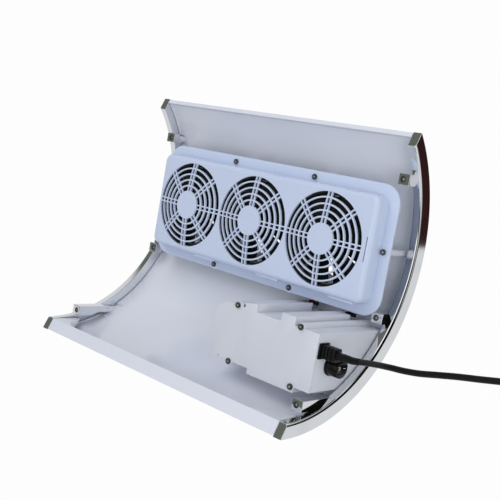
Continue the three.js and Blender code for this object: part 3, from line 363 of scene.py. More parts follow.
def copy_of(piece, name, x=0, v=0, w=0, mirror=False):
    twin = piece.copy()
    twin.data = piece.data.copy()
    twin.name = twin.data.name = name
    bpy.context.scene.collection.objects.link(twin)
    if mirror:
        twin.scale.x = -1
    settle(twin, Vector((x, v, w)) * MM)
    return tidy(twin) if mirror else twin


def seat(piece):
    """Turns an upright drawing by the tilt and drops it from the arch's centre line."""
    return settle(piece, (0, 0, -FLOOR * MM), (TILT, 0, 0))


print("finishing helpers are ready")

# %% [markdown]
# ## The mains cord comes first
#
# The cord is one curve: from the connector it droops to the table, runs out
# of the picture, and is wound into a coil that a tie holds. Its points are
# the ones the frame was built from.

# %% The route on the table
CORD = 5.4
CORD_ROUTE = [
    (193.5, 64.9, 17.6), (200, 64.8, 17.6), (209, 63.8, 16.6), (218, 62.9, 13.6),
    (228, 62.4, 9.4), (238, 62, 5.6), (248, 61.4, 3.3), (258, 60.6, 2.8),
    (272, 58.4, 2.8), (288, 54.5, 2.8), (304, 50.6, 2.8), (322, 46.8, 2.8),
    (340, 42.8, 2.8), (356, 39.3, 3.3), (370, 36.1, 3.9), (382, 33.4, 3.9),
]


def between(a, b, start, end, t):
    return a * ((end - t) / (end - start)) + b * ((t - start) / (end - start))


def flowing(points, each=6):
    """A centripetal spline through points, sampled evenly between each two."""
    points = [Vector(p) for p in points]
    points = [2 * points[0] - points[1]] + points + [2 * points[-1] - points[-2]]
    line = []
    for a, b, c, d in zip(points, points[1:], points[2:], points[3:]):
        t1 = (b - a).length ** 0.5
        t2 = t1 + (c - b).length ** 0.5
        t3 = t2 + (d - c).length ** 0.5
        for i in range(each):
            t = t1 + (t2 - t1) * i / each
            bc = between(b, c, t1, t2, t)
            abc = between(between(a, b, 0, t1, t), bc, 0, t2, t)
            bcd = between(bc, between(c, d, t2, t3, t), t1, t3, t)
            line.append(between(abc, bcd, t1, t2, t))
    return line + [points[-2]]


stretch = flowing(CORD_ROUTE)
print("points of the free stretch:", len(stretch))

# %% The coil and the tail
COIL_INNER, COIL_PITCH, COIL_LOOPS, COIL_EXIT, COIL_LIFT = 23, 6, 2.5, 0.25, 1.2
STEPS_A_TURN, STEP_ON = 36, CORD + 0.3
TAIL, TAIL_LOW, PLUG_AXIS = 92, 3.4, 6.5
TAIL_RISES = [(0.12, 1), (0.3, 0.55), (0.48, 0.08), (0.62, 0.04), (0.76, 0.3), (0.88, 1)]
heading = Vector(CORD_ROUTE[-1]) - Vector(CORD_ROUTE[-2])
heading.z = 0
heading.normalize()
coil_start = Vector(CORD_ROUTE[-1]) + heading * STEP_ON
coil_angle = atan2(heading.x, -heading.y)
coil_outer = COIL_INNER + COIL_PITCH * COIL_LOOPS
coil_centre = coil_start - coil_outer * Vector((cos(coil_angle), sin(coil_angle), 0))
coil_turns = 2 * COIL_LOOPS + COIL_EXIT


def coil_point(turns):
    """The coil spirals in on the table, climbs one layer, and spirals out again."""
    past = turns - COIL_LOOPS
    radius = COIL_INNER + COIL_PITCH * abs(past)
    angle = coil_angle - 2 * pi * turns
    climb = min(max(past * 2 + 0.5, 0), 1)
    x, y = coil_centre.x + radius * cos(angle), coil_centre.y + radius * sin(angle)
    return Vector((x, y, COIL_LIFT + CORD / 2 + COIL_PITCH * climb))


coil_steps = round(coil_turns * STEPS_A_TURN)
coil = [coil_point(coil_turns * i / coil_steps) for i in range(coil_steps + 1)]
exit_angle = coil_angle - 2 * pi * coil_turns
exit_way = Vector((sin(exit_angle), -cos(exit_angle), 0))
tail_start = coil[-1] + exit_way * STEP_ON
tail_end = tail_start + exit_way * TAIL
tail_end.z = PLUG_AXIS
tail_points = [tail_start]
for along, rise in TAIL_RISES:
    high = tail_start.z if along < 0.5 else PLUG_AXIS
    spot = tail_start + exit_way * TAIL * along
    spot.z = TAIL_LOW + (high - TAIL_LOW) * rise
    tail_points.append(spot)
tail = flowing(tail_points + [tail_end])
print("coil turns:", coil_turns)

# %% One curve for the whole cord
def curve_along(name, points, depth, radii, resolution):
    curve = bpy.data.curves.new(name, "CURVE")
    curve.dimensions = "3D"
    curve.bevel_depth, curve.bevel_resolution = depth, resolution
    curve.use_fill_caps = True
    spline = curve.splines.new("POLY")
    spline.points.add(len(points) - 1)
    for point, place, radius in zip(spline.points, points, radii):
        point.co = (*(Vector(place) * MM), 1)
        point.radius = radius
    spline.use_smooth = True
    piece = bpy.data.objects.new(name, curve)
    bpy.context.scene.collection.objects.link(piece)
    return piece


cord_line = stretch + coil + tail
lead = curve_along("mains_lead", cord_line, 1, [CORD / 2 * MM] * len(cord_line), 5)
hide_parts("mains_cord", "cord_coil", "cord_tail")
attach(lead, "housing")

# %% [markdown]
# ## Writing a material
#
# A material is a small net of nodes. One class wraps a socket, so masks can
# be written as plain sums and products. Any other node comes from one
# method of the net.

# %% Shader maths
class Wire:
    def __init__(self, net, socket):
        self.net, self.socket = net, socket

    def fit(self, low, high):
        """Stretches a range, or one that falls, onto 0 to 1, and clamps it."""
        values = {"Value": self, "From Min": low, "From Max": high}
        return self.net.node("MapRange", {}, values, "Result")


def operator(operation):
    return lambda self, other: self.net.node("Math", {"operation": operation}, [self, other])


Wire.__add__, Wire.__mul__, Wire.__truediv__, Wire.__gt__, Wire.__or__ = map(
    operator, ("ADD", "MULTIPLY", "DIVIDE", "GREATER_THAN", "MAXIMUM")
)


class Net:
    def __init__(self, owner):
        owner.use_nodes = True
        self.tree = owner.node_tree

    def put(self, socket, value):
        if isinstance(value, Wire):
            self.tree.links.new(value.socket, socket)
        elif socket.type == "RGBA":
            socket.default_value = (*value[:3], 1)
        else:
            socket.default_value = value

    def node(self, kind, settings, inputs, output=0):
        """Adds a node: its settings come first, then the values or links of its sockets."""
        made = self.tree.nodes.new(f"ShaderNode{kind}")
        for name, value in settings.items():
            setattr(made, name, value)
        for name, value in inputs.items() if isinstance(inputs, dict) else enumerate(inputs):
            self.put(made.inputs[name], value)
        return Wire(self, made.outputs[output]) if len(made.outputs) else made


print("materials can be written as sums of wires")

# %% [markdown]
# ## The floor, the sky and the lamps
#
# The camera looks up from below the table, so this floor is a stage piece
# that shows only from above, where it catches the shadow. The sky is white
# to the eye and dimmer as a source of light. In mirrors it is a studio:
# light walls over a dark floor with a bright strip, black in front of the
# right end, and one brown corner, whose edge shows in the right trim.

# %% Floor
bpy.ops.mesh.primitive_plane_add(size=6, location=(0, 0, -0.0002))
floor = bpy.context.object
floor.name = floor.data.name = "floor"
floor_paint = bpy.data.materials.new("floor_paint")
net = Net(floor_paint)
net.tree.nodes.clear()
seen = net.node("LightPath", {}, {}, "Is Camera Ray")
from_above = seen > net.node("NewGeometry", {}, {}, "Backfacing")
clear = net.node("BsdfTransparent", {}, {})
paint = net.node("BsdfDiffuse", {}, {"Color": (0.82, 0.82, 0.83)})
net.node("OutputMaterial", {}, {"Surface": net.node("MixShader", {}, [from_above, clear, paint])})
floor.data.materials.append(floor_paint)
print("the floor shows from above only")

# %% Sky
world = bpy.data.worlds.new("studio")
bpy.context.scene.world = world
net = Net(world)
net.tree.nodes.clear()
way = net.node("TexCoord", {}, {}, "Generated")
x, y, z = [net.node("SeparateXYZ", {}, {"Vector": way}, axis) for axis in "XYZ"]
dark_below = z.fit(-0.44, -0.54)
dark_front = x.fit(0.3, 0.4) * x.fit(0.99, 0.975) * y.fit(0.3, 0.2) * z.fit(0.62, 0.5)
glint = x.fit(-0.35, -0.3) * x.fit(0.38, 0.32) * z.fit(-0.72, -0.8)
brown = (y + z).fit(0.537, 0.531) * z.fit(0.45, 0.6) * x.fit(0.2, 0.4)
mirrored = (0.72, 0.73, 0.74)
for share, color in (
    (dark_below, (0.13, 0.14, 0.12)), (dark_front, (0.004, 0.004, 0.004)),
    (glint, (1.1, 1.1, 1.1)), (brown, (0.03, 0.011, 0.01)),
):
    mirrored = net.node("MixRGB", {}, {"Fac": share, "Color1": mirrored, "Color2": color})
glossy_ray, camera_ray, clear_ray = [
    net.node("LightPath", {}, {}, f"Is {kind} Ray") for kind in ("Glossy", "Camera", "Transmission")
]
dim, studio, bright = [
    net.node("Background", {}, {"Color": color, "Strength": strength})
    for color, strength in (((0.9, 0.95, 1), 0.44), (mirrored, 1.0), ((0.985, 0.985, 0.985), 1.0))
]
unseen = net.node("MixShader", {}, [glossy_ray, dim, studio])
sky = net.node("MixShader", {}, [camera_ray | clear_ray, unseen, bright])
net.node("OutputWorld", {}, {"Surface": sky})
print("the sky is ready")

# %% Lamps
LAMPS = {
    "lamp_key": ((-0.48, -0.72, -1.34), (0, 0, 0.05), 1.1, 8.5),
    "lamp_fill": ((0.05, 0.78, -1.36), (0, 0, 0.05), 1.1, 3.9),
    "lamp_side": ((1.12, 0.16, -0.5), (0, 0, 0.03), 0.7, 5.6),
    "lamp_above": ((-0.4, 0.7, 1.5), (0, 0, 0), 1.2, 16),
}
for name, (place, target, size, power) in LAMPS.items():
    light = bpy.data.lights.new(name, "AREA")
    light.size, light.energy = size, power
    lamp = bpy.data.objects.new(name, light)
    bpy.context.scene.collection.objects.link(lamp)
    lamp.location = place
    lamp.rotation_euler = (Vector(target) - Vector(place)).to_track_quat("-Z", "Y").to_euler()
    lamp.visible_camera = lamp.visible_glossy = False
print("lamps:", list(LAMPS))

# %% [markdown]
# ## Finishes
#
# A finish is a Principled shader with a few nodes before it. Its colours
# and roughness vary a little over the surface, as on the real machine.

# %% One finish
FINISHES = {}


class Finish(Net):
    """A material with a Principled shader, kept under the name of its slot."""

    def __init__(self, slot, name, color, roughness=0.5, **constants):
        material = FINISHES[slot] = bpy.data.materials.new(name)
        super().__init__(material)
        self.shader = self.tree.nodes["Principled BSDF"]
        material.diffuse_color = (*color, 1)
        self.set("Base Color", color)
        self.set("Roughness", roughness)
        for socket, value in constants.items():
            self.set(socket.replace("_", " "), value)

    def set(self, name, value):
        self.put(self.shader.inputs[name], value)

    def texture(self, kind, scale, output, settings, stretch=(1, 1, 1), **values):
        """A texture laid over the piece's own coordinates."""
        spot = self.node("TexCoord", {}, {}, "Object")
        place = self.node("Mapping", {}, {"Vector": spot, "Scale": stretch})
        sockets = {name.replace("_", " "): value for name, value in values.items()}
        return self.node(kind, settings, {"Vector": place, "Scale": scale, **sockets}, output)

    def noise(self, scale, detail=3, stretch=(1, 1, 1)):
        return self.texture("TexNoise", scale, 0, {}, stretch, Detail=detail)

    def tint(self, share, first, second):
        """Colour that goes from the first to the second with a share."""
        blend = self.node("Mix", {"data_type": "RGBA"}, {0: share, 6: first, 7: second}, 2)
        self.set("Base Color", blend)

    def relief(self, height, distance, strength=0.3):
        bump = self.node("Bump", {}, {"Height": height, "Distance": distance, "Strength": strength})
        self.set("Normal", bump)


print("finishes are ready to mix")

# %% [markdown]
# Glossy white plastic isn't even: moulding leaves soft waves that bend its
# reflections, and handling leaves faint smears. The machine's four white
# plastics differ in gloss, so one recipe makes them.

# %% White plastics
GRAIN_DEPTH = 0.0001


def white_plastic(slot, name, color, roughness, grain, wave):
    finish = Finish(slot, name, color, roughness, Specular_IOR_Level=0.5)
    smear = finish.noise(26, 4).fit(0.42, 0.68)
    cloud = finish.noise(7, 2).fit(0.3, 0.7)
    finish.tint(cloud * 0.6 + smear * 0.2, color, tuple(part * 0.965 for part in color))
    finish.set("Roughness", smear * 0.07 + roughness)
    fine = finish.noise(grain, 2)
    wavy = finish.noise(14, 1)
    finish.relief(wavy * wave / GRAIN_DEPTH + fine * 0.35, GRAIN_DEPTH, 0.25)


white_plastic("white_gloss", "shell_white", (0.765, 0.785, 0.865), 0.09, 2400, 0.0004)
white_plastic("tray_plastic", "tray_white", (0.60, 0.675, 0.85), 0.3, 3200, 0.0002)
white_plastic("box_plastic", "box_white", (0.67, 0.69, 0.755), 0.28, 2800, 0.0002)
white_plastic("guard_plastic", "guard_white", (0.66, 0.68, 0.74), 0.36, 3000, 0.0001)
print("white plastics:", list(FINISHES))

# %% [markdown]
# Chrome is a mirror, so its look comes from what it reflects, plus smudges
# that dull it in patches. The screws are dark steel. The floor of their
# recesses is painted pale: a painted highlight for the light caught there.

# %% Metals
chrome = Finish("chrome", "chrome", (0.83, 0.84, 0.85), 0.05, Metallic=1.0)
smudge = chrome.noise(34, 4).fit(0.5, 0.75)
chrome.set("Roughness", smudge * 0.09 + 0.045)
chrome.tint(smudge * 0.5, (0.85, 0.86, 0.875), (0.74, 0.75, 0.76))
chrome.relief(chrome.noise(18, 1), 0.0004, 0.12)

steel = Finish("screw_steel", "screw_steel", (0.12, 0.12, 0.12), 0.34, Metallic=1.0)
brushed = steel.noise(900, 3, (1, 1, 0.2))
steel.tint(brushed.fit(0.35, 0.65), (0.06, 0.06, 0.06), (0.2, 0.2, 0.19))
steel.set("Roughness", brushed * 0.2 + 0.24)
steel.relief(brushed, 0.00005, 0.4)

# The recess floor's pale colour is a painted highlight, not a metal of its own.
recess_highlight = Finish("recess", "recess_painted_highlight", (0.55, 0.56, 0.55), 0.4, Metallic=0.15)
highlight_mottle = recess_highlight.noise(700, 2)
recess_highlight.tint(highlight_mottle.fit(0.3, 0.7), (0.4, 0.41, 0.4), (0.62, 0.63, 0.62))
recess_highlight.set("Roughness", highlight_mottle * 0.2 + 0.3)

brass = Finish("pin_brass", "pin_brass", (0.78, 0.62, 0.35), 0.22, Metallic=1.0)
drawn = brass.noise(700, 3, (1, 0.1, 1))
brass.set("Roughness", drawn * 0.25 + 0.12)
brass.tint(drawn.fit(0.4, 0.6), (0.8, 0.65, 0.38), (0.66, 0.5, 0.26))

copper = Finish("copper", "copper_winding", (0.6, 0.27, 0.13), 0.35, Metallic=0.9)
strand = copper.texture("TexWave", 900.0, "Fac", {"bands_direction": "Z"})
copper.tint(strand, (0.36, 0.14, 0.06), (0.72, 0.36, 0.18))
copper.relief(strand, 0.0001, 0.6)
print("with metals:", len(FINISHES))

# %% [markdown]
# The fans are matt plastic, the switch and the connector are glossier, and
# the cord is soft vinyl that picks up dust. The red wire and the switch's
# white marks share their recipe.

# %% Black plastics, vinyl and weave
def black_plastic(slot, color, roughness, grain, dust, name=None):
    finish = Finish(slot, name or slot, color, roughness, Specular_IOR_Level=0.22)
    speck = finish.noise(grain, 5).fit(0.52, 0.72)
    veil = finish.noise(40, 3).fit(0.45, 0.75)
    finish.tint((speck * 0.5 + veil * 0.5) * dust, color, tuple(part + 0.08 for part in color))
    finish.set("Roughness", veil * 0.14 + roughness)
    finish.relief(finish.noise(grain * 2, 2), 0.00008, 0.35)


black_plastic("fan_black", (0.006, 0.006, 0.007), 0.42, 900, 0.06)
black_plastic("switch_black", (0.004, 0.004, 0.004), 0.2, 1400, 0.03)
black_plastic("socket_black", (0.005, 0.005, 0.005), 0.3, 1200, 0.03)
black_plastic("cord_black", (0.004, 0.004, 0.004), 0.36, 1000, 0.05, "cord_vinyl")
black_plastic("wire_red", (0.42, 0.02, 0.02), 0.34, 1500, 0.05)
black_plastic("wire_black", (0.016, 0.016, 0.018), 0.34, 1500, 0.08)
black_plastic("mark", (0.72, 0.72, 0.7), 0.5, 1500, 0.1, "switch_mark")

weave = Finish("tie_black", "tie_weave", (0.025, 0.025, 0.03), 0.75)
loop = weave.texture("TexVoronoi", 1500.0, "Distance", {})
weave.tint(loop.fit(0, 0.7), (0.045, 0.045, 0.05), (0.012, 0.012, 0.014))
weave.set("Roughness", loop * 0.2 + 0.7)
weave.relief(loop, 0.0003, 0.8)
print("with blacks:", len(FINISHES))

# %% [markdown]
# The power box hides a board, a transformer and a capacitor. They keep
# finishes of their own: solder mask, tape and a shrunk sleeve.

# %% Power supply finishes
board = Finish("board", "board_mask", (0.03, 0.16, 0.07), 0.35)
brick = {"Mortar_Size": 0.06, "Mortar_Smooth": 0.1}
runs = board.texture("TexBrick", 60.0, "Fac", {"offset": 0.5}, **brick)
board.tint(runs, (0.02, 0.12, 0.05), (0.05, 0.24, 0.1))
board.relief(runs, 0.00005, 0.5)

core = Finish("transformer", "transformer_core", (0.5, 0.36, 0.08), 0.45)
sheet_line = core.texture("TexWave", 320.0, "Fac", {"bands_direction": "X"})
core.tint(core.noise(120, 2).fit(0.45, 0.55), (0.5, 0.36, 0.08), (0.3, 0.21, 0.05))
core.relief(sheet_line, 0.0002, 0.5)

sleeve = Finish("capacitor", "capacitor_sleeve", (0.02, 0.025, 0.05), 0.3)
crease = sleeve.noise(160, 2)
sleeve.tint(crease.fit(0.4, 0.6), (0.015, 0.02, 0.045), (0.05, 0.06, 0.1))
sleeve.relief(crease, 0.0002, 0.4)

slot_of = {part["node"]: part["material_slot"] for part in frame["record"]["subparts"]}


def paint_for(piece, node):
    piece.data.materials.clear()
    piece.data.materials.append(FINISHES[slot_of[node]])


for node in frame["nodes"]:
    paint_for(bpy.data.objects[node], node)
lead.data.materials.append(FINISHES["cord_black"])
print("finishes on", len(slot_of), "carried-over nodes")

# %% Putting a piece in its node's place
def stands_for(piece, node):
    """Rides on the node's body, hides the node, and takes its finish."""
    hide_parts(node)
    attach(piece, frame["nodes"][node]["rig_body"])
    paint_for(piece, node)
    return piece


# %% [markdown]
# ## The chrome trims
#
# Each end of the arch is closed by a plated band with three square posts,
# and a screw in each post pulls the trim to the shell. The band is one
# outline between two arcs; the posts are blocks that a boolean stops just
# behind the band's inner arc.

# %% Band and posts
POSTS = {"front": (-69.8, 124.79), "middle": (64.5, 124.79), "rear": (141, 25.6)}
POST_X, POST_HALF = 165.35, 5.35


def post_blocks(grow):
    x0, x1, half = 160 - grow, 172.5 + grow, POST_HALF
    return seat(merged([
        block("posts", x0, x1, v - half - grow, v + half + grow, w - grow, SHELL_IN)
        for v, w in POSTS.values()
    ]))


def outer_edge(x, y, z):
    return x > END_X - 0.1 and hypot(y, z - TRIM_CENTRE) < TRIM_IN + 0.05


trim = band("trim_right", over(ARCH_RADIUS), over(TRIM_IN, TRIM_CENTRE), TRIM_X, END_X)
with Editing(trim, "EDGE", outer_edge):
    bpy.ops.mesh.bevel(offset=2.5 * MM, segments=6, affect="EDGES")
round_edges(trim, 0.5, 2, 60)
posts = round_edges(post_blocks(0), 0.5, 2)
keep_inside(posts, under("post_room", TRIM_IN + 2, 150, 176, TRIM_CENTRE))
tell(trim)

# %% Bores, and the second trim
cut(posts, seat(merged([
    turned("bore", [
        (0, w - 2), (3.1, w - 2), (3.1, w + 1.9), (1.8, w + 1.9),
        (1.8, w + 3), (3.8, w + 3), (3.8, SHELL_IN), (0, SHELL_IN),
    ], 32, POST_X, v)
    for v, w in POSTS.values()
])))
join(trim, posts)
trim_left = copy_of(trim, "chrome_trim_left", mirror=True)
trim.name = "chrome_trim_right"
for piece, node in ((trim, "trim_right"), (trim_left, "trim_left")):
    # The large faces lead the shading, so that a flat face mirrors like a flat one.
    changed(smooth(piece), "WEIGHTED_NORMAL", keep_sharp=True, weight=90)
    stands_for(piece, node)
tell(trim)

# %% [markdown]
# ## The shell
#
# The white shell is a thin arch with a narrow foot in front and a wide lip
# behind, a flange at each end, and bosses for the screws, which are rods
# that stop inside the wall. Three bores let the air in from above.

# %% Wall, feet, flanges and webs
FOOT_Y, WEB_X = 150.45, 168.9
stops = (-155, -80, -40, 40, 80, 155)
shell = band("arch_skin", over(SHELL_OUT), over(SHELL_IN), -SHELL_X, SHELL_X, stops)
round_edges(shell, 0.5, 2, 60)
rear_lip = block("rear_lip", -SHELL_X, SHELL_X, LIP_Y, FOOT_Y, 0, 3)
front_lip = block("front_lip", -SHELL_X, SHELL_X, -FOOT_Y, 3.4 - FOOT_Y, 0, 4)
flange_arcs = over(SHELL_IN + 1.2)[1:-1], over(SHELL_IN - 1.2)[1:-1]
flange = band("flange", *flange_arcs, SHELL_X - 2, SHELL_X - 0.1)
lip_v = LIP_Y * cos(TILT) + FLOOR * sin(TILT)
lip_w = FLOOR * cos(TILT) - LIP_Y * sin(TILT)
web_corners = [(WEB_X, lip_w + 0.5), (WEB_X, lip_w + 36), (132.4, lip_w + 0.5)]
web = seat(slab("web", web_corners, lip_v, lip_v + 2.2, "V"))
print("web reaches", round(lip_w + 36, 1), "mm out")

# %% Roots behind the posts, and the joined ends
roots = seat(merged([
    block("roots", 158.6, SHELL_X - 0.2, v - 6.6, v + 6.6, w, SHELL_OUT) for v, w in POSTS.values()
]))
keep_inside(roots, band("root_band", over(SHELL_IN + 0.9), over(SHELL_IN - 1), 160, WEB_X))
end_piece = join(join(flange, web), roots)
cut(end_piece, post_blocks(0.3))
end_twin = copy_of(end_piece, "end_twin", mirror=True)
tell(end_piece)

# %% Screw bosses and the joined shell
TRAY_W = SHELL_IN - 56.1
RIM_W = TRAY_W + 17
RIM_TOP = RIM_W + 2.5
HOLE = 3.6
FANS = {"left": -95.25, "middle": 2, "right": 99.25}
FAN_V = 1.4
TRAY_SCREWS = {
    "front_left": (-49.25, -56.4), "front_right": (63.25, -56.4), "rear_left": (-56.25, 61.2),
    "rear_right": (56.25, 61.2), "left": (-152.6, FAN_V), "right": (161.2, FAN_V),
}
bosses = [(side * POST_X, v, w + 3.3) for v, w in POSTS.values() for side in SIDES]
bosses += [(x, v, RIM_TOP + 0.3) for x, v in TRAY_SCREWS.values()]
boss_rods = seat(merged([rod("boss", 7, x, v, w, SHELL_IN + 2) for x, v, w in bosses]))
keep_inside(boss_rods, under("wall_middle", SHELL_IN + 1.3, -175, 175))
for piece in (rear_lip, front_lip, end_piece, end_twin, boss_rods):
    join(shell, piece)
holes = [rod("boss_hole", HOLE, x, v, w - 2, w + 10, 16) for x, v, w in bosses]
holes += [rod("intake", 89.6, x, FAN_V, TRAY_W, ARCH_RADIUS + 2, 96) for x in FANS.values()]
cut(shell, seat(merged(holes)))
stands_for(smooth(shell, 25), "arch_shell")
tell(shell)

# %% [markdown]
# ## The fan tray
#
# The tray is a shallow pan: a raised plateau with soft edges and a flat rim
# round it. Its grilles are cut through the plateau. One slice of a grille
# holds the openings between two spokes and the small ones in a twin spoke.
# Seven turned copies make it a full grille, and each fan gets one.

# %% Pan
PLATEAU = (-147.9, 157.2, -51.6, 54.4)
tray = slab("tray_pan", rounded(*PLATEAU, 9, 12), TRAY_W, RIM_TOP - 0.5)
with Editing(tray, "EDGE", lambda x, v, w: w < TRAY_W + 0.01):
    bpy.ops.mesh.bevel(offset=5.2 * MM, segments=8, affect="EDGES")
rim = slab("tray_rim", rounded(-157.3, 168.7, -63, 65.8, 20, 14), RIM_W, RIM_TOP)
join(tray, round_edges(rim, 0.6, 3, 60))
for name in ("rear_left", "rear_right"):
    join(tray, round_edges(rod("bulge", 11, *TRAY_SCREWS[name], RIM_W - 0.3, RIM_TOP, 48), 0.3))
for x in FANS.values():
    latch = block("latch", x + 17, x + 47, 53.4, 56.5, TRAY_W + 3.6, TRAY_W + 9.6)
    join(tray, round_edges(latch, 0.8, 3))
cut(tray, slab("tray_room", rounded(-145.7, 155, -49.4, 52.2, 4.8), TRAY_W + 2.2, RIM_TOP + 2))
tell(tray)

# %% One slice of a grille, turned and copied
DISC, GRILLE, RING_PITCH, BAR = 15.8, 47.2, 6.6, 1.6
SPOKES, SPOKE_HALF, TWIN_HALF = 8, 2.8, 1.5
GRILLE_LOW, GRILLE_HIGH = TRAY_W - 1, TRAY_W + 3.2
slice_parts = []
for ring in range(5):
    inner = DISC + ring * RING_PITCH
    outer = inner + RING_PITCH - BAR
    inner_turn, outer_turn = asin(SPOKE_HALF / inner), asin(SPOKE_HALF / outer)
    corners = arc(0, 0, outer, outer_turn, pi / 4 - outer_turn, 10)
    corners += arc(0, 0, inner, pi / 4 - inner_turn, inner_turn, 8)
    slice_parts.append(slab("slice", corners, GRILLE_LOW, GRILLE_HIGH))
    twin = [(inner, -TWIN_HALF), (outer, -TWIN_HALF), (outer, TWIN_HALF), (inner, TWIN_HALF)]
    slice_parts.append(slab("twin", twin, GRILLE_LOW, GRILLE_HIGH))
grille = merged(slice_parts)
repeat(grille, SPOKES)
openings = [copy_of(grille, "grille", x, FAN_V) for x in FANS.values()]
bpy.data.meshes.remove(grille.data)
slit = rounded(151, 152.2, FAN_V - 12.2, FAN_V + 12.2, 0.5, 4)
openings.append(slab("slit", slit, GRILLE_LOW, TRAY_W + 3))
for x, shift in zip(FANS.values(), (0, 5, 8)):
    hook = rounded(x + 23 - shift, x + 41 - shift, -52, -50.4, 0.7, 4)
    openings.append(slab("hook", hook, TRAY_W + 1, TRAY_W + 4.2))
cut(tray, merged(openings))
round_edges(tray, 0.22, 1, 70)
tell(tray)

# %% Domed grilles
DOME, DOME_TOP = 4.2, TRAY_W + 2.3


def on_plateau(x, v, w):
    return w < DOME_TOP and PLATEAU[2] < v < PLATEAU[3]


with Editing(tray, "FACE", on_plateau):
    bpy.ops.mesh.quads_convert_to_tris(quad_method="BEAUTY", ngon_method="BEAUTY")
domed = 0
for vertex in tray.data.vertices:
    x, v, w = vertex.co / MM
    for fan_x in FANS.values():
        reach = hypot(x - fan_x, v - FAN_V)
        if w < DOME_TOP and reach < GRILLE - 0.1:
            vertex.co.z -= DOME * (1 - (reach / GRILLE) ** 2) * MM
            domed += 1
tray.data.update()
print("domed points:", domed)

# %% Screw holes and pegs
FAN_BOLT = 41.25
cut(tray, rods("tray_hole", HOLE, TRAY_SCREWS.values(), TRAY_W, RIM_TOP + 2, 24))
pegs = []
for x in FANS.values():
    for i, j in CORNERS:
        place = x + FAN_BOLT * i, FAN_V + FAN_BOLT * j
        pegs.append(round_edges(rod("peg", 3.7, *place, TRAY_W + 1.7, TRAY_W + 6.2, 24), 0.4))
join(tray, merged(pegs))
stands_for(smooth(seat(tray), 25), "fan_tray")
tell(tray)

# %% [markdown]
# ## The fans
#
# A fan is a square frame with thin flanges at its corners, a motor base on
# four struts, and an impeller: a cup with seven twisted blades. A blade is
# a grid whose points are laid round the axis, steep at the root and flatter
# at the tip. A Solidify modifier gives it its thickness.

# %% Frame
FAN_W = TRAY_W + 2.5
FAN_HALF, FAN_DEPTH = 46, 25
fan_square = rounded(-FAN_HALF, FAN_HALF, -FAN_HALF, FAN_HALF, 4)
frame_piece = round_edges(slab("fan_shroud", fan_square, 0, FAN_DEPTH), 0.5, 2, 60)
fan_bore = [(0, -1), (45.2, -1), (44.5, 3), (44.5, 22), (45.2, 26), (0, 26)]
cut(frame_piece, turned("fan_bore", fan_bore, 96))
pockets = merged([
    block("pocket", *sorted((30 * i, 50 * i)), *sorted((30 * j, 50 * j)), 4, 21) for i, j in CORNERS
])
cut(pockets, rod("pocket_core", 91.6, 0, 0, 0, FAN_DEPTH, 96))
cut(frame_piece, pockets)
bolts = [(FAN_BOLT * i, FAN_BOLT * j) for i, j in CORNERS]
cut(frame_piece, rods("fan_hole", 4.3, bolts, -1, FAN_DEPTH + 1, 24))
base = turned("motor_base", [
    (2.2, 0.7), (2.2, 16), (4, 16), (4, 3), (18.5, 3), (18.5, 0.4), (18.1, 0), (0, 0), (0, 0.7),
])
for strut in (block("strut", -45, 45, -1.7, 1.7, 0, 3), block("strut", -1.7, 1.7, -45, 45, 0, 3)):
    cut(strut, rod("strut_middle", 36, 0, 0, -1, 4))
    join(base, round_edges(strut, 0.4))
join(frame_piece, base)
smooth(close_up(frame_piece))
tell(frame_piece)

# %% Impeller
TOP, LOW, BLADES = 22.4, 3.7, 7
ROOT, TIP, BLADE_W = 18.6, 43.2, 14
impeller = turned("impeller_cup", [
    (0, 1.4), (1.7, 1.4), (1.7, TOP - 1.7), (17.3, TOP - 1.7), (17.3, LOW),
    (19, LOW), (19, TOP - 1.5), (18.6, TOP - 0.4), (17.5, TOP), (0, TOP),
], 64)
bpy.ops.mesh.primitive_grid_add(x_subdivisions=8, y_subdivisions=8, size=2)
blade = bpy.context.object
for vertex in blade.data.vertices:
    along, chord = (vertex.co.x + 1) / 2, vertex.co.y / 2
    radius = ROOT + (TIP - ROOT) * along
    width = 24 + 19 * along
    pitch = radians(28 - 11 * along)
    camber = (0.25 - chord ** 2) * 5
    around = chord * width * cos(pitch) - camber * sin(pitch)
    rise = chord * width * sin(pitch) + camber * cos(pitch) - 2
    angle = around / radius
    place = (radius * cos(angle), radius * sin(angle), BLADE_W + rise)
    vertex.co = Vector(place) * MM
changed(blade, "SOLIDIFY", thickness=1.5 * MM, offset=0)
repeat(tidy(round_edges(blade, 0.3, 2, 60)), BLADES)
join(impeller, blade)
smooth(impeller, 40)
tell(impeller)

# %% Three of each
for name, x in FANS.items():
    shroud = copy_of(frame_piece, f"fan_shroud_{name}", x, FAN_V, FAN_W)
    stands_for(seat(shroud), f"fan_frame_{name}")
    rotor = copy_of(impeller, f"impeller_{name}", x, FAN_V, FAN_W)
    stands_for(seat(rotor), f"fan_impeller_{name}")
bpy.data.meshes.remove(frame_piece.data)
bpy.data.meshes.remove(impeller.data)
print("fans at", list(FANS.values()))

# %% [markdown]
# ## The intake side
#
# Each fan breathes through a round duct, a turned tube that a boolean trims
# to the arch. Its ledge carries a guard of two rings, a disc and four
# spokes.

# %% Duct and guard
GUARD_W = SHELL_IN - 9
GUARD_LOW = GUARD_W - 2


def guard_ring(name, inner, outer, chamfer, steps):
    low, high = GUARD_LOW + chamfer, GUARD_W - chamfer
    return turned(name, [
        (inner, low), (inner + chamfer, GUARD_LOW), (outer - chamfer, GUARD_LOW), (outer, low),
        (outer, high), (outer - chamfer, GUARD_W), (inner + chamfer, GUARD_W), (inner, high),
    ], steps, 0, FAN_V)


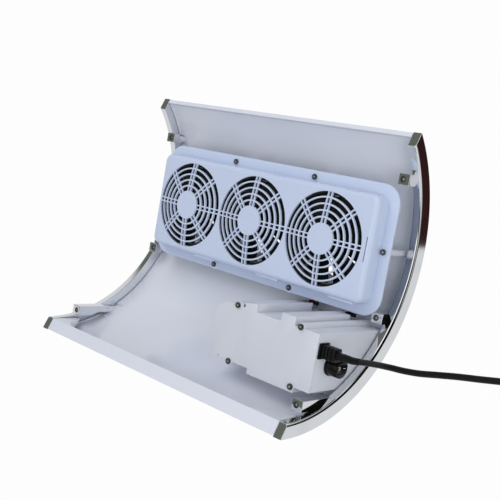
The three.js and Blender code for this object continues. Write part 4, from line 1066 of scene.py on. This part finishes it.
duct = turned("duct", [
    (44.8, FAN_W + 25.3), (47.5, FAN_W + 25.3), (47.5, SHELL_IN), (44.8, SHELL_IN),
    (44.8, GUARD_W - 2.3), (42.8, GUARD_W - 2.3), (42.8, GUARD_W - 4.3), (44.8, GUARD_W - 4.3),
], 96, 0, FAN_V)
keep_inside(seat(duct), under("duct_room", SHELL_IN - 0.3, -60, 60))
guard = guard_ring("guard", 41.5, 44.5, 0.5, 96)
join(guard, guard_ring("ring", 24.25, 26.25, 0.4, 72))
join(guard, turned("disc", [
    (0, GUARD_LOW), (8.4, GUARD_LOW), (9, GUARD_LOW + 0.6), (9, GUARD_W - 0.6), (8.4, GUARD_W),
    (0, GUARD_W),
], 48, 0, FAN_V))
for reach_x, reach_v, inset in ((43, 1.2, 0.02), (1.2, 43, 0.04)):
    spoke = block(
        "spoke", -reach_x, reach_x, FAN_V - reach_v, FAN_V + reach_v,
        GUARD_LOW + inset, GUARD_W - inset,
    )
    join(guard, round_edges(spoke, 0.4))
for name, x in FANS.items():
    stands_for(smooth(copy_of(duct, f"duct_{name}", x)), f"intake_duct_{name}")
    stands_for(seat(smooth(copy_of(guard, f"guard_{name}", x))), f"intake_guard_{name}")
bpy.data.meshes.remove(duct.data)
bpy.data.meshes.remove(guard.data)
print("ducts and guards:", 2 * len(FANS))

# %% [markdown]
# ## The power box
#
# Beside the fans a long box holds the power supply. Its tub has two small
# ducts for the fan wires, and four columns for the cover's screws. One
# outline serves tub, hollow and cover: each corner knows its way inwards.

# %% Outline
BOX_W = 37.1
TUB_W = BOX_W + 2.3
DUCT_END = 131.6
DUCTS = {"red": (50.9, 91.5), "black": (122.1, 138.9)}
FRONT_V, DUCT_V, BACK_V, BULGE_V = 76.5, 68.6, 131, 136.4
COVER_SCREWS = {
    "front_left": (67.3, 75.7), "rear_left": (67.3, 131.4),
    "front_right": (146.5, 75.7), "rear_right": (146.5, 131.4),
}
BOX_CORNERS = [
    (40.1, 83, 1, 1), (50.9, FRONT_V, 1, 1), (91.5, DUCT_V, -1, 1), (91.5, FRONT_V, -1, 1),
    (122.1, FRONT_V, 1, 1), (122.1, DUCT_V, 1, 1), (138.9, DUCT_V, -1, 1), (138.9, FRONT_V, -1, 1),
    (168.1, FRONT_V, -1, 1), (168.1, BACK_V, -1, -1), (149.7, BACK_V, -1, -1),
    (149.7, BULGE_V, -1, -1), (91.9, BULGE_V, 1, -1), (91.9, BACK_V, 1, -1), (40.1, BACK_V, 1, -1),
]


def box_outline(inset):
    return [(x + i * inset, v + j * inset) for x, v, i, j in BOX_CORNERS]


print("box corners:", len(box_outline(0)))

# %% Tub
INLET_V, INLET_W = 91.8, 45.7
SWITCH_V, SWITCH_W, PIVOT_X = 106.3, 61.1, 179.3


def at_ducts(name, before, after, *sides):
    """A block along each wire duct, with a distance before and after it."""
    return merged([block(name, x0 - before, x1 + after, *sides) for x0, x1 in DUCTS.values()])


def at_mouths(name, before, *sides):
    """A block at each wire duct's right end."""
    return merged([block(name, x1 - before, x1 + 2, *sides) for _, x1 in DUCTS.values()])


tub = round_edges(slab("box_tub", box_outline(0), TUB_W, SHELL_IN), 0.7, 3, 60)
cut(tub, slab("tub_room", box_outline(2), TUB_W - 1, SHELL_IN + 1))
cut(tub, at_ducts("duct_top", 2, 0.5, 66.6, FRONT_V, DUCT_END, SHELL_IN + 2))
join(tub, at_ducts("back", 0, 0, FRONT_V, 78.5, DUCT_END, SHELL_IN - 1))
join(tub, rods("column", 8, COVER_SCREWS.values(), TUB_W, SHELL_IN - 0.1, 40))
join(tub, merged([
    block("rail", x0, x1, 86, 118, w, w + 1.8)
    for x0, x1 in ((40.6, 44.3), (163.9, 167.6)) for w in (77.9, 81.9)
]))
screw_holes = rods("screw_hole", HOLE, COVER_SCREWS.values(), TUB_W - 2, TUB_W + 10, 20)
cut(tub, merged([
    screw_holes, at_mouths("mouth", 11, 66.6, 73.1, DUCT_END - 11.2, DUCT_END + 2)
]))
cut(tub, at_mouths("side_mouth", 2.5, 66, 76, DUCT_END - 11, DUCT_END + 1))
cut(tub, merged([
    block("inlet_hole", 164.1, 170, INLET_V - 6.5, INLET_V + 6.5, INLET_W - 5.7, INLET_W + 5.7),
    slab("switch_hole", circle(SWITCH_V, SWITCH_W, 7.6, 48), 164.1, 170, "X"),
]))
keep_inside(seat(tub), under("tub_space", SHELL_IN - 0.3, 30, 175))
stands_for(smooth(tub, 25), "power_box_tub")
tell(tub)

# %% Cover
cover = slab("box_cover", box_outline(0), BOX_W, BOX_W + 2)
for place in COVER_SCREWS.values():
    join(cover, rod("ear", 8, *place, BOX_W, BOX_W + 2, 48))
round_edges(cover, 0.5, 3, 50)
cut(cover, rods("cover_hole", HOLE, COVER_SCREWS.values(), BOX_W - 2, TUB_W, 24))
cut(cover, block("mark_hole", 73.4, 76.4, 72.7, 75.7, BOX_W - 2, TUB_W))
cut(cover, rod("pin_hole", 1.6, 52.5, 129.8, BOX_W - 2, TUB_W, 20))
stands_for(smooth(seat(close_up(cover)), 25), "power_box_cover")
tell(cover)

# %% [markdown]
# ## Screws
#
# All sixteen screws are one kind: a low domed head with a cross recess and
# a threaded shank. One is spun and cut for each length, and the rest are
# copies. A pale cross on the floor of each recess is a painted highlight.

# %% One screw
HEAD = [
    (0, 0.1), (1.5, 0.1), (2, 0), (2.6, 0.15), (2.95, 0.5), (3, 1.1), (3, 1.5), (2.9, 1.6),
    (1.2, 1.6),
]
THREAD_PITCH, SHANK_START = 0.9, 1.6


def wings(name, low, high):
    """The blocks of a cross; one is a hair taller, so that their faces don't coincide."""
    return [
        block(name, -1.6, 1.6, -0.4, 0.4, low, high),
        block(name, -0.4, 0.4, -1.6, 1.6, low - 0.01, high + 0.01),
    ]


def screw(length):
    side = list(HEAD)
    for i in range(int(length / THREAD_PITCH) - 2):
        start = SHANK_START + THREAD_PITCH * i
        side += [(1.2, start + 0.25), (1.5, start + 0.5), (1.2, start + 0.75)]
    piece = turned(f"screw_{length}", side + [(1.1, length), (0, length + 1.4)], 32)
    for wing in wings("wing", -1, 0.95):
        cut(piece, wing)
    return smooth(piece, 30)


SCREW_SETS = [
    (screw(11), {f"trim_screw_left_{n}": (-POST_X, v, w + 0.3) for n, (v, w) in POSTS.items()}),
    (screw(11.01), {f"trim_screw_right_{n}": (POST_X, v, w + 0.3) for n, (v, w) in POSTS.items()}),
    (screw(12.6), {f"tray_screw_{n}": (x, v, RIM_W - 2.2) for n, (x, v) in TRAY_SCREWS.items()}),
    (screw(12.1), {f"cover_screw_{n}": (x, v, BOX_W - 1.9) for n, (x, v) in COVER_SCREWS.items()}),
]
# The drive is that pale cross: a painted highlight on each recess floor.
drive = join(*wings("drive", 0.5, 1.2))
drive.data.materials.append(FINISHES["recess"])
for model, places in SCREW_SETS:
    for node, place in places.items():
        piece = stands_for(copy_of(model, node.replace("screw", "fastener"), *place), node)
        seat(merged([piece, copy_of(drive, "drive", *place)]))
    bpy.data.meshes.remove(model.data)
bpy.data.meshes.remove(drive.data)
print("screws:", sum(len(places) for _, places in SCREW_SETS))

# %% [markdown]
# ## Connector, switch and wires
#
# The connector is a ribbed grip with a nose in the inlet, and a soft boot
# that tapers along the cord. The boot follows the cord's own line, so it is
# a curve with a changing radius that becomes a mesh.

# %% Tubes along a line
def tube(name, points, diameter, shares=None):
    radii = shares or [1] * len(points)
    pick(curve_along(name, points, diameter / 2 * MM, radii, 6))
    bpy.ops.object.convert(target="MESH")
    return tidy(bpy.context.object)


def boot(name, line, start_diameter, end_diameter, length, ribs, depth):
    """A tapered sleeve along the first stretch of a line, with grooves between its ribs."""
    points, shares, gone = [], [], 0
    steps = ribs * 8
    marks = [length * i / steps for i in range(steps + 1)]
    for a, b in zip(line, line[1:]):
        step = (b - a).length
        while marks and marks[0] <= gone + step + 1e-6:
            points.append(a + (b - a) * ((marks[0] - gone) / step))
            share = marks.pop(0) / length
            width = start_diameter + (end_diameter - start_diameter) * share
            phase = (share * ribs) % 1
            groove = depth if 0.55 < phase < 0.95 and 0.08 < share < 0.92 else 0
            shares.append((width - groove) / start_diameter)
        gone += step
    return tube(name, points, start_diameter, shares)


def from_local(x, v, w):
    """A place in the slanted direction, as a place over the table."""
    y, z = v * cos(TILT) - w * sin(TILT), v * sin(TILT) + w * cos(TILT) - FLOOR
    return Vector((x, y, z))


boot_line = [from_local(x, INLET_V, INLET_W) for x in (183.5, 186, 189)]
boot_line = flowing(boot_line + CORD_ROUTE[:6], 10)
print("boot starts at", [round(x, 1) for x in boot_line[0]])

# %% Connector
def bar(name, width, height, corner, x0, x1):
    """A bar along the arch with rounded corners, round the inlet's axis."""
    v, w = width / 2, height / 2
    corners = rounded(INLET_V - v, INLET_V + v, INLET_W - w, INLET_W + w, corner)
    return slab(name, corners, x0, x1, "X")


grip = round_edges(bar("connector_grip", 12.2, 10.6, 2, 170.4, 185.4), 0.7, 3, 60)
grooves = []
for i in range(3):
    x = 174.15 + 3.75 * i
    groove = bar("groove", 16, 14, 1, x - 0.55, x + 0.55)
    grooves.append(cut(groove, bar("groove_core", 10.6, 8.8, 1.6, x - 1, x + 1)))
cut(grip, merged(grooves))
join(grip, round_edges(bar("nose", 8.8, 7.2, 1, 160.4, 170.9), 0.3))
cut(grip, merged([
    slab("contact", circle(INLET_V + side * 2.35, INLET_W, 1.4, 24), 158.4, 170.4, "X")
    for side in SIDES
]))
connector = join(seat(grip), boot("cord_boot", boot_line, 8, 6, 25, 6, 0.15))
connector.name = "connector"
stands_for(smooth(connector, 40), "appliance_connector")
tell(connector)

# %% [markdown]
# The switch is round: a thin bezel against the wall, a barrel, and a rocker
# in a slot. The rocker carries a ring for off and a bar for on, drawn level
# about its pivot and then tipped to off.

# %% Barrel
barrel = turned_along("switch_barrel", [
    (152.4, 0), (152.4, 6.9), (153, 7.3), (168.4, 7.3), (168.4, 9.3), (168.7, 9.6), (169.6, 9.6),
    (170, 9.2), (170, 8.8), (180.9, 8.8), (181.7, 8.5), (182, 7.8), (182, 0),
], SWITCH_V, SWITCH_W, 96)
pocket = rounded(SWITCH_V - 4.3, SWITCH_V + 4.3, SWITCH_W - 6.8, SWITCH_W + 6.8, 0.5, 4)
cut(barrel, slab("pocket", pocket, 175, 184, "X"))
pin_room = rod("pin_room", 2.8, PIVOT_X, -SWITCH_W, SWITCH_V - 5.5, SWITCH_V + 5.5, 24)
cut(barrel, settle(pin_room, turn=(radians(-90), 0, 0)))
stands_for(smooth(seat(barrel), 30), "switch_housing")
tell(barrel)

# %% Rocker with its marks
ROCKER_HALF = 5.9


def rocker_face(w, base):
    """How far out the rocker's hollow face stands, at a distance from the pivot."""
    return base + 1.2 * abs(w / ROCKER_HALF) ** 1.3


rocker_side = [(-2.6, -5.2), (-2.6, 5.2), (2.9, ROCKER_HALF), (3.2, 5.6)]
rocker_side += [(rocker_face(w, 2), w) for w in (4.6, 3.4, 2.2, 1, 0, -1, -2.2, -3.4, -4.6)]
rocker_side += [(3.2, -5.6), (2.9, -ROCKER_HALF)]
rocker = round_edges(slab("switch_rocker_body", rocker_side, -4, 4, "V"), 0.35, 2, 50)
pins = rod("rocker_pin", 2.2, 0, 0, -5.2, 5.2, 24)
join(rocker, settle(pins, turn=(radians(90), 0, 0)))
ring_side = [(2.55, 0.85), (2.85, 0.9), (2.85, 1.3), (2.55, 1.35)]
ring_mark = turned_along("mark_ring", ring_side, -0.9, -3.7, 40)
steps = [2 + 0.25 * i for i in range(10)]
bar_side = [(rocker_face(w, 2.07), w) for w in steps]
bar_side += [(rocker_face(w, 1.9), w) for w in steps[::-1]]
marks = merged([ring_mark, slab("mark_bar", bar_side, -1.2, -0.7, "V")])
marks.data.materials.append(FINISHES["mark"])
stands_for(smooth(rocker), "switch_rocker")
pivot = Vector((PIVOT_X, SWITCH_V, SWITCH_W)) * MM
seat(settle(merged([rocker, marks]), pivot, (0, radians(8), 0)))
print("rocker materials:", [slot.name for slot in rocker.material_slots])

# %% [markdown]
# Two wires leave the right fan, cross the tray's rim and go down into the
# box through its ducts; a black block at each mouth is painted shade.

# %% Fan wires
high = RIM_TOP + 2.7
for name, (x0, x1) in DUCTS.items():
    x = x1 - 5.5
    places = [
        (x, 47.7, high), (x, 65.8, high), (x, 70.6, high - 1.2), (x, 78.5, high - 11.2),
        (x, 87.5, 86.7), (x, 87.5, 81.9),
    ]
    wire = smooth(tube(f"wire_{name}", flowing(places, 8), 2.4), 60)
    # A black block at the duct's mouth is painted shade for the dark mouth.
    mouth_shade = block("mouth_shade", x1 - 10.5, x1 + 2, 67.2, 71.2, high - 1.9, high + 1.7)
    mouth_shade.data.materials.append(FINISHES["socket_black"])
    round_edges(mouth_shade, 1.7, 4)
    stands_for(wire, f"fan_wire_{name}")
    seat(merged([wire, smooth(mouth_shade)]))
print("wires:", len(DUCTS))

# %% [markdown]
# ## The end of the cord
#
# A woven tie holds the coil, and the cord ends in a moulded plug with two
# brass pins. They lie outside the picture.

# %% Tie
tie_angle = coil_angle - pi
tie = slab("hook_tie", rounded(19.1, 38.9, 0, 13.8, 2.6, 6), -3, 3, "X")
cut(tie, slab("tie_room", rounded(19.9, 38.1, 0.8, 13, 1.9, 6), -5, 5, "X"))
join(tie, block("tie_end", -3.2, 3.2, 24, 34, 13.6, 14.3))
round_edges(tie, 0.15, 1, 50)
tie_place = Vector((coil_centre.x, coil_centre.y, 0)) * MM
settle(tie, tie_place, (0, 0, tie_angle - pi / 2))
stands_for(smooth(tie, 30), "cord_tie")
print("tie round", round(coil_outer, 1), "mm of coil")

# %% Plug
PIN_V, PIN_X = 9.5, 28.3
plug_place = (tail_end + exit_way * 0.3) * MM
plug_place.z = 0


def lay_along_tail(piece):
    """Turns a piece drawn along +X to the tail's direction and puts it at the tail's end."""
    return settle(piece, plug_place, (0, 0, atan2(exit_way.y, exit_way.x)))


plug = slab("plug_body", [(0, -5.5), (11.3, -13), (34, -13), (34, 13), (11.3, 13), (0, 5.5)], 0, 13)
round_edges(plug, 3.2, 6, 30)
grooves = merged([
    block("grip_groove", 13 + 3 * i, 14.2 + 3 * i, -16, 16, -2, 15) for i in range(4)
])
cut(grooves, slab("grip_core", rounded(9, 30, -12.3, 12.3, 4), 0.7, 12.3))
cut(plug, grooves)
cut(plug, merged([
    slab("pin_seat", circle(side * PIN_V, PLUG_AXIS, 2.3, 24), 28, 36, "X") for side in SIDES
]))
lay_along_tail(close_up(plug))
join(plug, boot("plug_boot", tail[::-1], 8.6, 6.4, 22, 5, 0.8))
plug.name = "plug"
stands_for(smooth(plug, 35), "mains_plug")
for i, side in enumerate(SIDES, 1):
    pin = turned_along(f"plug_pin_{i}", [
        (PIN_X, 0), (PIN_X, 1.7), (28.6, 2), (43, 2), (43.1, 1.9), (52.1, 1.9), (52.7, 1.6),
        (53, 1), (53, 0),
    ], side * PIN_V, PLUG_AXIS, 32)
    stands_for(smooth(lay_along_tail(pin)), f"mains_plug_pin_{i}")
print("plug at", [round(x, 1) for x in tail_end])

# %% [markdown]
# ## Finish
#
# The scene's placements are brought up to date at the end.

# %% Last update
bpy.context.view_layer.update()
